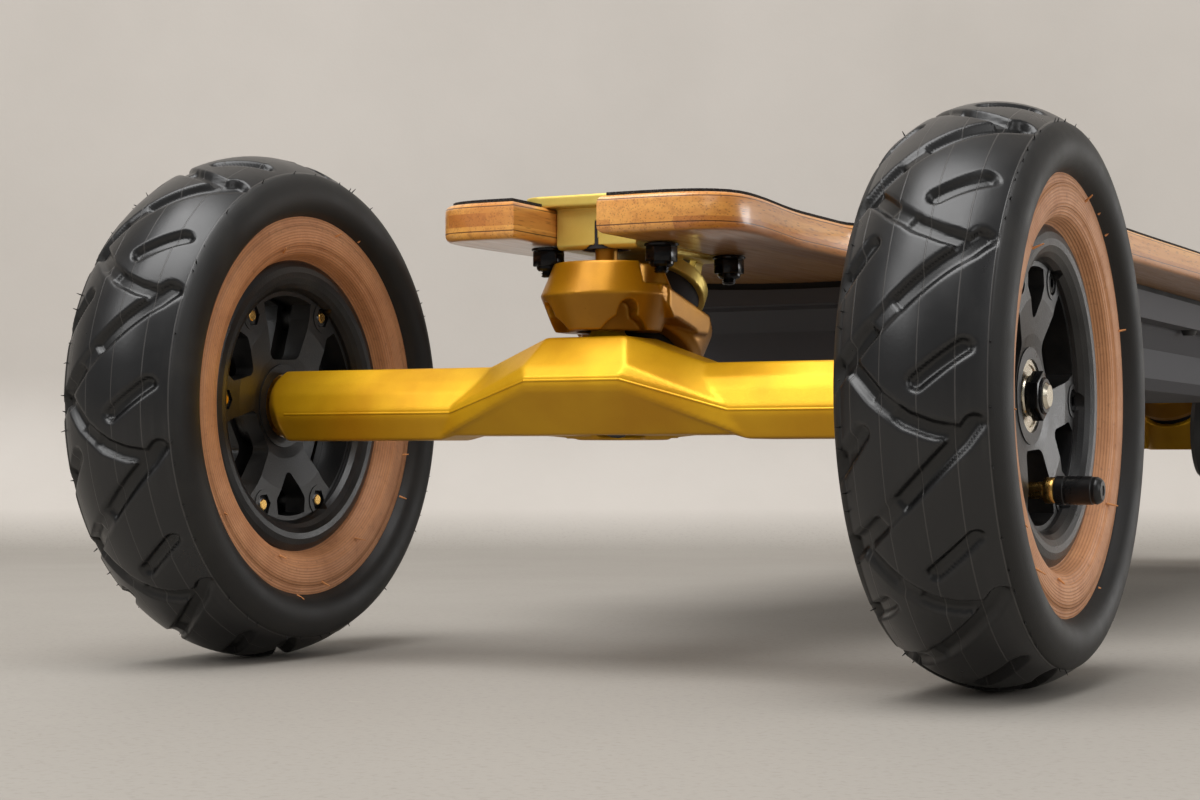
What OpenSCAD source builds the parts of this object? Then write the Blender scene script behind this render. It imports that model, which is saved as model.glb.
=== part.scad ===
// Electric mountainboard: bamboo deck, two double kingpin trucks, four air tyres, belt drive.
// Frame: +Z up, nose towards -Y, origin on the ground midway between the axles.

/* [Deck] */
// Distance between the front and rear axles
wheelbase = 832; // [780:1:880]
// How far each deck tip reaches beyond its axle
deck_overhang = 33; // [28:1:40]
// Widest width of the deck
deck_w = 240; // [220:1:260]
// Width of each nose, over both prongs
nose_w = 107; // [98:1:116]
// Width of the waist between the tyres
waist_w = 98; // [90:1:104]
// Thickness of the bamboo laminate
deck_t = 12; // [9:0.5:15]
// Radius of the concave across the deck
concave_r = 830; // [700:10:1200]
// Height of the deck's underside above the axles
deck_rise = 51; // [50:0.5:54]
// Thickness of the grip sheet
grip_t = 1; // [0.6:0.1:1.5]
// Margin between the grip sheet and the deck's edge
grip_margin = 2; // [1:0.5:4]

/* [Wheels] */
// Outer diameter of the tyres
tyre_d = 175; // [165:1:185]
// Width of the tyres
tyre_w = 50; // [44:1:54]
// Distance between the wheels' centre planes
track = 267.6; // [264:0.2:276]
// Diameter over the rim's lips
rim_d = 103; // [98:0.5:108]
// Width over the rim's lips
rim_w = 33; // [30:0.5:36]
// Diameter of the bead seat
seat_d = 86; // [82:0.5:90]
// Thickness of the rim's barrel
barrel_t = 3.5; // [2.5:0.5:4.5]
// Outer diameter of the sidewall ring
sidewall_d = 131; // [126:1:136]
// Diameter of the circle of hub bolts
bolt_circle_d = 75; // [72:0.5:76]
// Diameter of the hub's boss
boss_d = 29; // [27:0.5:32]
// Width over the bearings
bearing_span = 17; // [16:0.5:19]

/* [Fasteners] */
// Diameter of the stub axles
axle_d = 8; // [7:0.5:8]
// Outer diameter of the wheel bearings
bearing_d = 22; // [21:0.5:23]
// Width of one wheel bearing
bearing_w = 7; // [6:0.5:7.5]
// Diameter of the kingpins
kingpin_d = 9.5; // [8:0.5:10]
// Width across flats of the kingpin nuts
kingpin_nut_w = 12.7; // [12:0.1:13.5]
// Diameter of the deck bolts
deck_bolt_d = 5; // [4:0.5:5.5]

/* [Trucks] */
// Lean of the kingpins from upright
kingpin_tilt = 36; // [34:0.5:37]
// Diameter of the large bushings
bushing_d = 29; // [27:0.5:30]
// Height of the large bushings
bushing_h = 12; // [11:0.5:13]
// Thickness of the link's plate between the bushings
plate_t = 12; // [10:0.5:12]
// Diameter of the link's plate
plate_d = 44; // [42:0.5:46]
// Diameter of the link's drum at its parting line
drum_d = 44; // [42:0.5:46]
// Height of the link's drum
drum_h = 22.2; // [21:0.2:23]

/* [Drive] */
// Diameter of the motors
motor_d = 60; // [56:1:62]
// Length of a motor's can
motor_l = 52; // [46:1:54]
// Distance from the rear axle to the motor shafts
motor_reach = 82; // [81:0.5:84]
// Teeth on each wheel pulley
wheel_teeth = 56; // [54:1:58]
// Teeth on each motor pulley
motor_teeth = 16; // [14:1:18]
// Width of the belts
belt_w = 15; // [12:1:15]

/* [Case] */
// Distance between the case's sides and the deck's edges
case_side = 30; // [26:1:40]
// Depth of the case below the deck
case_h = 37; // [34:1:40]
// Clear length between the front axle and the case
case_front = 184; // [180:1:200]
// Clear length between the case and the rear axle
case_rear = 156; // [154:1:180]
// Wall of the case
case_wall = 3; // [2:0.5:4]
// Diameter of the power button
button_d = 9; // [8:0.5:10]

/* [Hidden] */
$fn = 96;

// Colours
forged_gold = "#d9a21b";
cast_gold = "#b5810f";
pale_gold = "#e9d27a";
bamboo = "#c98a45";
black_plastic = "#232323";
black_rubber = "#2a2a2c";
tan_rubber = "#c98b5e";
black_steel = "#1c1c1e";
bright_steel = "#b9bbbe";
brass = "#c2983f";
urethane = "#151516";

// Clearances
seat_gap = 0.3;
run_gap = 0.04;
slip_gap = 0.02;
face_gap = 0.1;

// Heights and places shared by the sub-assemblies
axle_z = tyre_d / 2;
deck_z = axle_z + deck_rise;
deck_top = deck_z + deck_t;
half_base = wheelbase / 2;
half_track = track / 2;
concave_z = deck_top + concave_r;
big_fn = 1440;

// Truck mounting pattern: two rows of two bolts
bolt_dx = 41.3;
bolt_dy = 54;
bolt_y0 = 1.5;
bolt_y1 = bolt_y0 + bolt_dy;
bolt_tail = 9.8;
flange_t = 3.8;
flange_w = bolt_dx + 11;
flange_front = -9.5;
flange_rear = 68.5;
slot_w = 29.4;
slot_rear = 64.4;
neck_w = slot_w - 2 * seat_gap;
neck_front = -4.5;
neck_rear = slot_rear - seat_gap;
neck_drop = 1.6;

// Deck outline, as half widths at a distance y behind the axle, towards the middle
nose_len = 34;
waist_from = 58;
waist_to = 92;
flare_to = 200;
function blend(a, b, t) = a + (b - a) * t * t * (3 - 2 * t);
function nose_half(y, grow) =
    let (t = min(1, max(0, (y + deck_overhang + grow) / nose_len)))
    (nose_w / 2 + grow) * pow(1 - pow(1 - t, 2.6), 1 / 2.6);
function deck_half(y, grow = 0) =
    y < 0 ? nose_half(y, grow)
    : y < waist_from ? blend(nose_half(0, grow), waist_w / 2 + grow, y / waist_from)
    : y < waist_to ? waist_w / 2 + grow
    : y < flare_to ? blend(waist_w / 2, deck_w / 2 - 3, (y - waist_to) / (flare_to - waist_to)) + grow
    : blend(deck_w / 2 - 3, deck_w / 2, (y - flare_to) / (half_base - flare_to)) + grow;
deck_steps = concat(
    [for (i = [0 : 10]) -deck_overhang + nose_len * pow(i / 10, 2)],
    [for (y = [8 : 10 : waist_from]) y],
    [for (i = [0 : 18]) waist_to + (flare_to - waist_to) * i / 18],
    [250, 320]
);

// Kingpin line of a truck, in the truck's own frame: axle centre at the origin, +Y to the board's middle
king_y = 32;
king_z = 24.5;
sin_tilt = sin(kingpin_tilt);
cos_tilt = cos(kingpin_tilt);
function king(s) = [0, king_y + s * sin_tilt, king_z + s * cos_tilt];
half_plate = plate_t / 2;
seat_depth = 1;
bushing_lo = half_plate - seat_depth;
bushing_hi = bushing_lo + bushing_h;
board_ring_t = 5;
hanger_ring_t = 9;
small_bushing_d = 16;
small_bushing_h = 5.5;
washer_t = 1.4;
nut_h = 7;
king_tip = 2;

// Pivots
drum_y = 4;
drum_bottom = king_z - 1.7;
drum_mid = drum_bottom + 0.52 * drum_h;
drum_top = drum_bottom + drum_h;
drum_draft = 4.5;
arch_foot = 5;
arch_w = 6.5;
arch_turn = 46;
arch_foot_r = 8;
ridge_fall = 0.2375;
ridge_top = drum_mid + 5.5;
ridge_turn = 56;
upper_pivot = [0, 3, deck_rise + 2.2];
lower_pivot = [0, drum_y, drum_bottom + 3.8];
stem_d = 7.4;
stub_d = 11;
upper_cup_d = 15;
lower_cup_d = 20;

// Hanger
arm_top = 11.8;
arm_bottom = -12.4;
arm_ridge = -3.4;
arm_shoulder = 3.5;
arm_bevel = 7.2;
arm_half = 13;
ridge_half = 1.2;
hanger_end = half_track - bearing_span / 2 - 0.9;
end_boss_d = 20;
axle_depth = 60;
axle_out = 14.6;
axle_nut_w = 13;
centre_front = -22.5;
centre_half = 17;
centre_ridge = 6.3;
ridge_reach = 50;
peak_z = drum_bottom - 2.2;
peak_half = 14;
slope_half = 39.2;
panel_top = 2.9;
panel_bottom = -11;
panel_half = 50;
cup_d = plate_d - 6;
pocket_r = kingpin_nut_w / sqrt(3) + 3.3;

// Wheel
half_rim = rim_w / 2;
lip_t = 3;
sidewall_x = half_rim + 3.5;
tube_wall = 4.2;
crown_r = 34;
web_in = 3;
web_out = 11.5;
face_round = 6.2;
half_boss = bearing_span / 2 + 0.5;
spoke_turns = [3, 302, 40, 75];
window_corner = 3.4;
fork_corner = 2.2;
hub_bolt_angle = 26;
hub_bolt_d = 4;
bolt_recess_d = 7.6;
valve_r = 28;
valve_reach = 30;

// Drive
belt_pitch = 5;
wheel_pulley_r = wheel_teeth * belt_pitch / (2 * PI) - 0.57;
motor_pulley_r = motor_teeth * belt_pitch / (2 * PI) - 0.57;
belt_t = 1.9;
belt_lift = 0.3;
belt_gap = 1;
flange_thin = 1;
tyre_side = half_track - tyre_w / 2;
pulley_out = tyre_side - 2.3;
pulley_in = pulley_out - belt_w - 2 * flange_thin;
mount_t = 6;
mount_out = pulley_in - 1.2;
mount_in = mount_out - mount_t;
motor_z = -1.5;
shaft_d = 8;

// Case
case_w = deck_w - 2 * case_side;
case_front_y = -half_base + case_front;
case_rear_y = half_base - case_rear;
case_len = case_rear_y - case_front_y;
case_mid_y = (case_rear_y + case_front_y) / 2;
case_bottom = deck_z - case_h;
flange_reach = 9;
flange_corner = 12;
flange_margin = 4;
flange_low = deck_z - 8.5;
gasket_t = 2.5;
band_low = deck_z - 10;
chamfer_low = deck_z - 18.5;
chamfer_in = 7;
foot_in = 5;
button_y = case_rear_y - 60;
port_y = case_rear_y - 95;
panel_x = case_w / 2 - chamfer_in;
panel_z = (chamfer_low + case_bottom + foot_in) / 2;
port_d = 11;
port_bore_d = 6.4;
port_bore_l = 9;
screw_rows = 5;
screw_d = 4;
screw_head_d = 7.6;
screw_head_h = 2.4;
screw_x = case_w / 2 + flange_reach / 2;
screw_inset = 20;

// What the case holds: rows of cells in front, the controller behind
pack_gap = 0.3;
inner_end = case_wall + chamfer_in + foot_in + pack_gap;
inner_floor = case_bottom + case_wall + pack_gap;
controller_w = 110;
controller_l = 90;
controller_t = 12;
fin_t = 3;
fin_h = 8;
fin_step = 10;
cell_d = 18.4;
cell_l = 65;
cell_pitch = cell_d + 0.6;
cell_step = cell_l + 1;
cell_rows = floor(2 * (panel_x - case_wall - foot_in) / cell_pitch);
cell_columns = floor((case_len - 2 * inner_end - controller_l) / cell_step);

// Places a sub-part of a truck at the front or the rear
module at_truck(front) {
    translate([0, front ? -half_base : half_base, axle_z]) rotate([0, 0, front ? 0 : 180]) children();
}

// Places a wheel, drawn with its outboard side on +X, at one corner
module at_wheel(front, left, turn) {
    translate([left ? half_track : -half_track, front ? -half_base : half_base, axle_z])
        mirror([left ? 0 : 1, 0, 0]) rotate([turn, 0, 0]) children();
}

// Puts +Z along the kingpin line, with its foot at distance s above the plate's middle
module on_king(s) {
    translate(king(s)) rotate([-kingpin_tilt, 0, 0]) children();
}

// Revolves a profile of [offset along X, radius] about the X axis
module turned_x() {
    rotate([0, 90, 0]) rotate_extrude() rotate([0, 0, 90]) mirror([0, 1, 0]) children();
}

// Extrudes a [y, z] outline along X between two places
module across_x(x0, x1) {
    translate([x0, 0, 0]) rotate([90, 0, 90]) linear_extrude(x1 - x0) children();
}

// Extrudes an [x, z] outline along Y between two places
module along_y(y0, y1) {
    translate([0, y1, 0]) rotate([90, 0, 0]) linear_extrude(y1 - y0) children();
}

module both_sides() {
    children();
    mirror([1, 0, 0]) children();
}

module both_ends() {
    children();
    rotate([0, 0, 180]) children();
}

// Deck and grip sheet

module deck_outline(grow = 0) {
    steps = [for (y = deck_steps) y < 0 ? y * (deck_overhang + grow) / deck_overhang : y];
    side = [for (y = steps) [deck_half(y, grow), y - half_base]];
    back = [for (i = [len(steps) - 1 : -1 : 0]) [deck_half(steps[i], grow), half_base - steps[i]]];
    right = concat(side, [[deck_w / 2 + grow, 0]], back);
    left = [for (i = [len(right) - 1 : -1 : 0]) [-right[i][0], right[i][1]]];
    polygon(concat(right, left));
}

// The hollow of the concave, as a cylinder along the board
module concave(r) {
    translate([0, half_base + 60, concave_z]) rotate([90, 0, 0]) cylinder(h = wheelbase + 120, r = r, $fn = big_fn);
}

module slot_outline(clear = 0) {
    translate([-slot_w / 2 + clear, -half_base - deck_overhang - 2])
        square([slot_w - 2 * clear, deck_overhang + 2 + slot_rear - clear]);
}

module flange_outline(grow = 0) {
    r = 8 + grow;
    w = flange_w / 2 + grow;
    y0 = flange_front - grow;
    y1 = flange_rear + grow;
    translate([-w + r, y0]) square([2 * (w - r), y1 - y0]);
    translate([-w, y0 + r]) square([2 * w, y1 - y0 - 2 * r]);
    for (x = [-w + r, w - r], y = [y0 + r, y1 - r]) translate([x, y]) circle(r = r);
}

module bolt_places() {
    for (x = [-bolt_dx / 2, bolt_dx / 2], y = [bolt_y0, bolt_y1]) translate([x, y, 0]) children();
}

module deck() {
    color(bamboo) difference() {
        intersection() {
            translate([0, 0, deck_z - 5]) linear_extrude(deck_t + 30) difference() {
                deck_outline();
                both_ends() slot_outline();
            }
            concave(concave_r + deck_t);
        }
        concave(concave_r);
        both_ends() translate([0, -half_base, 0]) {
            translate([0, 0, deck_top]) linear_extrude(20) flange_outline(grip_t);
            bolt_places() translate([0, 0, deck_z - 6]) cylinder(h = deck_t + 12, d = deck_bolt_d + 0.4);
        }
    }
}

module grip_tape() {
    color(black_rubber) difference() {
        intersection() {
            translate([0, 0, deck_z]) linear_extrude(deck_t + 30) difference() {
                deck_outline(-grip_margin);
                both_ends() {
                    slot_outline(-grip_margin);
                    translate([0, -half_base]) flange_outline(grip_t);
                }
            }
            concave(concave_r);
        }
        concave(concave_r - grip_t);
    }
}

// Case under the deck, with what it holds

// Width of the slanted foot, on a surface that lies inside the case's outer one
function foot_at(shrink) = foot_in - shrink * (2 - sqrt(2));

module case_section(shrink, low) {
    half = case_w / 2 - shrink;
    foot = foot_at(shrink);
    difference() {
        polygon([
            [-half, deck_z + 20], [-half, band_low], [-half + chamfer_in, chamfer_low],
            [-half + chamfer_in, low + foot], [-half + chamfer_in + foot, low],
            [half - chamfer_in - foot, low], [half - chamfer_in, low + foot],
            [half - chamfer_in, chamfer_low], [half, band_low], [half, deck_z + 20]
        ]);
        under_deck();
    }
}

// Everything above the gasket, which lies on the deck's curved underside
module under_deck() {
    translate([0, concave_z]) circle(r = concave_r + deck_t + gasket_t, $fn = big_fn);
}

module case_profile(shrink, low) {
    y0 = case_front_y + shrink;
    y1 = case_rear_y - shrink;
    foot = foot_at(shrink);
    polygon([
        [y0, deck_z + 20], [y0, band_low], [y0 + chamfer_in, chamfer_low],
        [y0 + chamfer_in, low + foot], [y0 + chamfer_in + foot, low],
        [y1 - chamfer_in - foot, low], [y1 - chamfer_in, low + foot],
        [y1 - chamfer_in, chamfer_low], [y1, band_low], [y1, deck_z + 20]
    ]);
}

module case_block(shrink, low) {
    intersection() {
        along_y(case_front_y - 1, case_rear_y + 1) case_section(shrink, low);
        across_x(-case_w / 2 - 1, case_w / 2 + 1) case_profile(shrink, low);
    }
}

module flange_plan(inset = 0) {
    w = case_w / 2 + flange_reach - inset;
    l = case_len / 2 + flange_reach - inset;
    r = flange_corner - inset;
    intersection() {
        union() {
            square([2 * (w - r), 2 * l], center = true);
            square([2 * w, 2 * (l - r)], center = true);
            for (x = [-1, 1], y = [-1, 1]) translate([x * (w - r), y * (l - r)]) circle(r = r);
        }
        translate([0, -case_mid_y]) deck_outline(-flange_margin - inset);
    }
}

module screw_places() {
    step = (case_len - 2 * screw_inset) / (screw_rows - 1);
    for (i = [0 : screw_rows - 1], x = [-screw_x, screw_x])
        translate([x, case_front_y + screw_inset + i * step, 0]) children();
}

// Height of the deck's underside at a distance x from its middle line
function under_z(x) = concave_z - sqrt(pow(concave_r + deck_t, 2) - x * x);

module case() {
    color(black_plastic) difference() {
        union() {
            case_block(0, case_bottom);
            intersection() {
                translate([0, case_mid_y, flange_low]) linear_extrude(30) flange_plan();
                along_y(case_front_y - flange_reach, case_rear_y + flange_reach) difference() {
                    translate([-case_w, flange_low]) square([2 * case_w, 30]);
                    under_deck();
                }
            }
        }
        case_block(case_wall, case_bottom + case_wall);
        translate([panel_x, button_y, panel_z]) rotate([0, 90, 0])
            cylinder(h = 4 * case_wall, d = button_d + 0.5, center = true);
        translate([panel_x, port_y, panel_z]) rotate([0, 90, 0])
            cylinder(h = 4 * case_wall, d = port_d, center = true);
        screw_places() translate([0, 0, flange_low - 1]) cylinder(h = 30, d = screw_d + 0.4);
    }
}

module case_gasket() {
    color(urethane) translate([0, case_mid_y, 0]) difference() {
        translate([0, 0, deck_z - 4]) linear_extrude(24) difference() {
            flange_plan(1);
            square([case_w - 2 * case_wall, case_len - 2 * case_wall], center = true);
            translate([0, -case_mid_y]) screw_places() circle(d = screw_d + 0.4);
        }
        translate([0, -case_mid_y, 0]) concave(concave_r + deck_t);
        translate([0, -case_mid_y - half_base, 0]) rotate([-90, 0, 0]) linear_extrude(wheelbase)
            translate([0, -concave_z]) difference() {
                square([2 * case_w, 4 * concave_r], center = true);
                circle(r = concave_r + deck_t + gasket_t, $fn = big_fn);
            }
    }
}

module case_screws() {
    grip = under_z(screw_x) - flange_low;
    color(black_steel) screw_places() {
        translate([0, 0, flange_low - screw_head_h]) cylinder(h = screw_head_h, d1 = screw_head_d - 2, d2 = screw_head_d);
        translate([0, 0, flange_low - 0.4]) cylinder(h = grip - face_gap, d = screw_d);
    }
}

module battery_pack() {
    y0 = case_front_y + inner_end;
    row_w = cell_rows * cell_pitch;
    strap_w = 12;
    color("#2f5d8a") {
        for (r = [0 : cell_rows - 1], c = [0 : cell_columns - 1])
            translate([(r + 0.5) * cell_pitch - row_w / 2, y0 + c * cell_step + cell_l, inner_floor + cell_d / 2])
                rotate([90, 0, 0]) cylinder(h = cell_l, d = cell_d, $fn = 48);
        for (c = [0 : cell_columns - 1])
            translate([-row_w / 2 + 2, y0 + c * cell_step + (cell_l - strap_w) / 2, inner_floor + 2])
                cube([row_w - 4, strap_w, cell_d - 4]);
        translate([-cell_pitch, y0 + cell_l / 3, inner_floor + cell_d / 3])
            cube([2 * cell_pitch, cell_columns * cell_step - 2 * cell_l / 3, cell_d / 3]);
    }
}

module motor_controller() {
    y0 = case_rear_y - inner_end - controller_l;
    fins = floor(controller_w / fin_step);
    color("#3b3d40") {
        translate([-controller_w / 2, y0, inner_floor]) cube([controller_w, controller_l, controller_t]);
        for (i = [0 : fins - 1])
            translate([(i - (fins - 1) / 2) * fin_step - fin_t / 2, y0 + fin_t, inner_floor + controller_t - 1])
                cube([fin_t, controller_l - 2 * fin_t, fin_h]);
    }
}

module power_button() {
    out = 1.6;
    color(bright_steel) translate([panel_x, button_y, panel_z]) rotate([0, 90, 0]) {
        translate([0, 0, -case_wall - 1]) cylinder(h = case_wall + 1 + out, d = button_d - 0.4);
        translate([0, 0, -case_wall - 2]) cylinder(h = 1.6, d = button_d + 1.8);
    }
}

module charge_port() {
    color(black_steel) translate([panel_x, port_y, panel_z]) rotate([0, 90, 0]) difference() {
        union() {
            translate([0, 0, -13]) cylinder(h = 13, d = port_d - 0.2);
            cylinder(h = 1.2, d = port_d + 2);
        }
        translate([0, 0, 1.2 - port_bore_l]) cylinder(h = port_bore_l + 1, d = port_bore_d);
    }
}

// Trucks, each drawn in its own frame

module baseplate() {
    ring_lo = bushing_hi;
    ring_hi = bushing_hi + board_ring_t;
    neck_top = deck_rise + deck_t;
    ring_r = bushing_d / 2 + 2;
    far_y = king(ring_hi)[1] + ring_r * cos_tilt;
    far_z = king(ring_hi)[2] - ring_r * sin_tilt;
    color(pale_gold) difference() {
        union() {
            translate([0, 0, neck_top]) linear_extrude(flange_t) flange_outline();
            translate([-neck_w / 2, neck_front, deck_rise - neck_drop])
                cube([neck_w, neck_rear - neck_front, deck_t + neck_drop]);
            on_king(ring_lo) cylinder(h = board_ring_t, r = ring_r);
            // Gusset behind the ring
            across_x(-neck_w / 4, neck_w / 4) polygon([
                [neck_front + 18, deck_rise], [king_y + 2, deck_rise - 6], [far_y - 6, far_z + 1.4],
                [far_y, far_z + 1.4], [neck_rear, deck_rise]
            ]);
        }
        // Seat of the upper bushing and the bore around the kingpin
        on_king(-20) cylinder(h = 20 + ring_lo, r = ring_r);
        on_king(0) cylinder(h = 60, d = kingpin_d + 2.5);
        on_king(ring_hi) cylinder(h = small_bushing_h + washer_t + nut_h + king_tip + 2.5, r = pocket_r - 1.4);
        // Window above the kingpin nut
        translate([0, king_y + 18, deck_rise + 4]) cylinder(h = 20, d = slot_w / 2);
        // Pivot cup pocket
        translate([0, upper_pivot[1], deck_rise - neck_drop - 1]) cylinder(h = 10.5, d = upper_cup_d);
        bolt_places() {
            translate([0, 0, neck_top - 1]) cylinder(h = flange_t + 2, d = deck_bolt_d + 0.4);
            translate([0, 0, neck_top + flange_t - 2.6]) cylinder(h = 2.61, d1 = deck_bolt_d + 0.4, d2 = 10.4);
        }
        // Draft on the neck's lower front edge
        across_x(-20, 20) polygon([
            [neck_front - 1, deck_rise - neck_drop - 1], [neck_front + 2.2, deck_rise - neck_drop - 1],
            [neck_front - 1, deck_rise - neck_drop + 2.2]
        ]);
    }
}

module deck_bolts() {
    neck_top = deck_rise + deck_t;
    nut_top = deck_rise - face_gap;
    color(black_steel) bolt_places() {
        translate([0, 0, neck_top + flange_t - 2.5]) difference() {
            cylinder(h = 2.4, d1 = deck_bolt_d, d2 = 10);
            translate([0, 0, 0.8]) cylinder(h = 3, d = 3.4, $fn = 6);
        }
        translate([0, 0, nut_top - bolt_tail]) cylinder(h = neck_top + flange_t - 2 - nut_top + bolt_tail, d = deck_bolt_d);
        translate([0, 0, nut_top - 1.3]) cylinder(h = 1.3, d = 11.4);
        translate([0, 0, nut_top - 6]) cylinder(h = 4.8, d = 9.2, $fn = 6);
        translate([0, 0, nut_top - 7.6]) cylinder(h = 2, d1 = 6.6, d2 = 8);
    }
}

// Point in the side view on the plate's upper or lower face, at t along the plate
function plate_edge(t, s) = [king_y + t * cos_tilt + s * sin_tilt, king_z - t * sin_tilt + s * cos_tilt];

// Height of the ridge that runs back from the drum's side to the plate's rim
ridge_y = drum_y - drum_d / 2 * cos(ridge_turn);
function ridge_z(y) = ridge_top - ridge_fall * (y - ridge_y);

// Shoulder that leaves the drum's sides and ties it to the plate
module link_shoulder() {
    side_x = plate_d / 2 + 0.5;
    bead = drum_mid - 0.4;
    intersection() {
        translate([0, 0, drum_bottom]) linear_extrude(drum_h) {
            translate([0, drum_y]) circle(r = drum_d / 2 - 0.2);
            translate([-side_x, drum_y]) square([2 * side_x, king_y]);
        }
        across_x(-plate_d, plate_d) polygon([
            [drum_y - 4, drum_top + 20], plate_edge(-20, half_plate - 0.2), plate_edge(3, half_plate - 0.2),
            plate_edge(3, 1 - half_plate), plate_edge(-6, 1 - half_plate),
            [drum_y + 6, drum_bottom + 4.3], [drum_y + 3, drum_bottom + 4.3], [drum_y - 4, bead]
        ]);
    }
}

module link() {
    end_r = drum_d / 2 - drum_draft;
    color(cast_gold) difference() {
        union() {
            translate([0, drum_y, drum_bottom]) cylinder(h = drum_mid - drum_bottom, r1 = end_r, r2 = drum_d / 2);
            translate([0, drum_y, drum_mid]) cylinder(h = drum_top - drum_mid, r1 = drum_d / 2, r2 = end_r);
            // Plate between the two bushings, with a skirt round the lower one, tied to the drum by the shoulder
            intersection() {
                union() {
                    on_king(-half_plate) cylinder(h = plate_t, d1 = plate_d - 2, d2 = plate_d);
                    on_king(-half_plate - 3) cylinder(h = 3.5, d1 = plate_d - 5, d2 = plate_d - 2);
                    link_shoulder();
                }
                across_x(-plate_d, plate_d) polygon([[-30, -30], [-30, ridge_z(-30)], [60, ridge_z(60)], [60, -30]]);
            }
            on_king(1 - half_plate) cylinder(h = plate_t, d = bushing_d - 0.6);
        }
        // Room for the two large bushings and their seats
        on_king(bushing_lo) cylinder(h = 40, d = bushing_d + 0.6);
        on_king(-bushing_lo - 40) cylinder(h = 40, d = bushing_d + 0.6);
        // Threaded bore that holds both kingpins
        on_king(-20) cylinder(h = 40, d = kingpin_d + 0.04);
        // Arched openings in the drum's lower wall
        for (side = [-1, 1]) translate([0, drum_y, 0]) rotate([0, 0, side * arch_turn - 90])
            translate([lower_cup_d / 2 + 1.4, 0, 0]) {
                translate([0, 0, drum_mid - 2 - arch_w / 2]) rotate([0, 90, 0]) cylinder(h = 20, d = arch_w);
                translate([0, -arch_w / 2, drum_bottom - 1]) cube([20, arch_w, drum_mid - 1 - drum_bottom - arch_w / 2]);
                translate([0, 0, drum_bottom + arch_foot - arch_foot_r]) rotate([0, 90, 0]) cylinder(h = 20, r = arch_foot_r);
            }
        // Scallops that clear the front deck bolts as the link swings
        both_sides() translate([bolt_dx / 2, bolt_y0, deck_rise - bolt_tail - 3.4]) cylinder(h = 20, r = 7.6);
        // Pivot cup pocket
        translate([0, drum_y, drum_bottom - 1]) cylinder(h = 15, d = lower_cup_d);
    }
    color(cast_gold) {
        translate([0, upper_pivot[1], drum_top - 1]) cylinder(h = upper_pivot[2] - drum_top + 1, d = stem_d);
        translate(upper_pivot) sphere(d = stem_d);
    }
}

module kingpins() {
    color(black_steel) {
        for (side = [1, -1]) {
            ring = side > 0 ? board_ring_t : hanger_ring_t;
            nut_at = bushing_hi + ring + small_bushing_h + face_gap;
            tip_at = nut_at + washer_t + nut_h + king_tip;
            on_king(0) mirror([0, 0, side > 0 ? 0 : 1]) {
                translate([0, 0, 0.1]) cylinder(h = tip_at - 0.1, d = kingpin_d);
                difference() {
                    union() {
                        translate([0, 0, nut_at]) cylinder(h = washer_t, d = small_bushing_d);
                        translate([0, 0, nut_at + washer_t]) cylinder(h = nut_h, d = kingpin_nut_w / cos(30), $fn = 6);
                    }
                    translate([0, 0, nut_at - 1]) cylinder(h = nut_h + 4, d = kingpin_d + 0.1);
                }
            }
        }
    }
}

module bushings() {
    bore = kingpin_d + 0.3;
    color(urethane) for (side = [1, -1]) {
        ring = side > 0 ? board_ring_t : hanger_ring_t;
        on_king(0) mirror([0, 0, side > 0 ? 0 : 1]) {
            difference() {
                union() {
                    translate([0, 0, bushing_lo + face_gap]) cylinder(h = bushing_h / 2, d1 = bushing_d, d2 = bushing_d - 2);
                    translate([0, 0, bushing_lo + bushing_h / 2])
                        cylinder(h = bushing_h / 2 - face_gap, d1 = bushing_d - 2, d2 = bushing_d);
                }
                cylinder(h = 40, d = bore);
            }
            translate([0, 0, bushing_hi + ring + face_gap]) difference() {
                cylinder(h = small_bushing_h - face_gap, d1 = small_bushing_d, d2 = small_bushing_d - 2);
                translate([0, 0, -1]) cylinder(h = 40, d = bore);
            }
        }
    }
}

module upper_pivot_cup() {
    low = deck_rise - neck_drop + 0.2;
    color(urethane) translate([0, upper_pivot[1], 0]) difference() {
        translate([0, 0, low]) cylinder(h = 9.2, d = upper_cup_d - 0.1);
        translate([0, 0, upper_pivot[2]]) sphere(d = stem_d + 0.8);
        translate([0, 0, low - 1]) cylinder(h = upper_pivot[2] - low + 1, d1 = stem_d + 4, d2 = stem_d + 0.8);
    }
}

module lower_pivot_cup() {
    color(urethane) translate([0, drum_y, 0]) difference() {
        translate([0, 0, drum_bottom + 0.4]) cylinder(h = 13.5, d = lower_cup_d - 0.1);
        translate([0, 0, lower_pivot[2]]) sphere(d = stub_d + 1);
        translate([0, 0, drum_bottom - 1]) cylinder(h = lower_pivot[2] - drum_bottom + 1, d1 = stub_d + 5, d2 = stub_d + 1);
    }
}

module arm_section(grow = 0) {
    front = [
        [-4.5, arm_top + grow], [-9 - grow, arm_bevel], [-11.2 - grow, arm_shoulder],
        [-arm_half - grow, arm_ridge + ridge_half], [-arm_half - grow, arm_ridge - ridge_half],
        [-10.5 - grow, arm_bottom - grow]
    ];
    polygon(concat(front, [for (i = [5 : -1 : 0]) [-front[i][0], front[i][1]]]));
}

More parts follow.
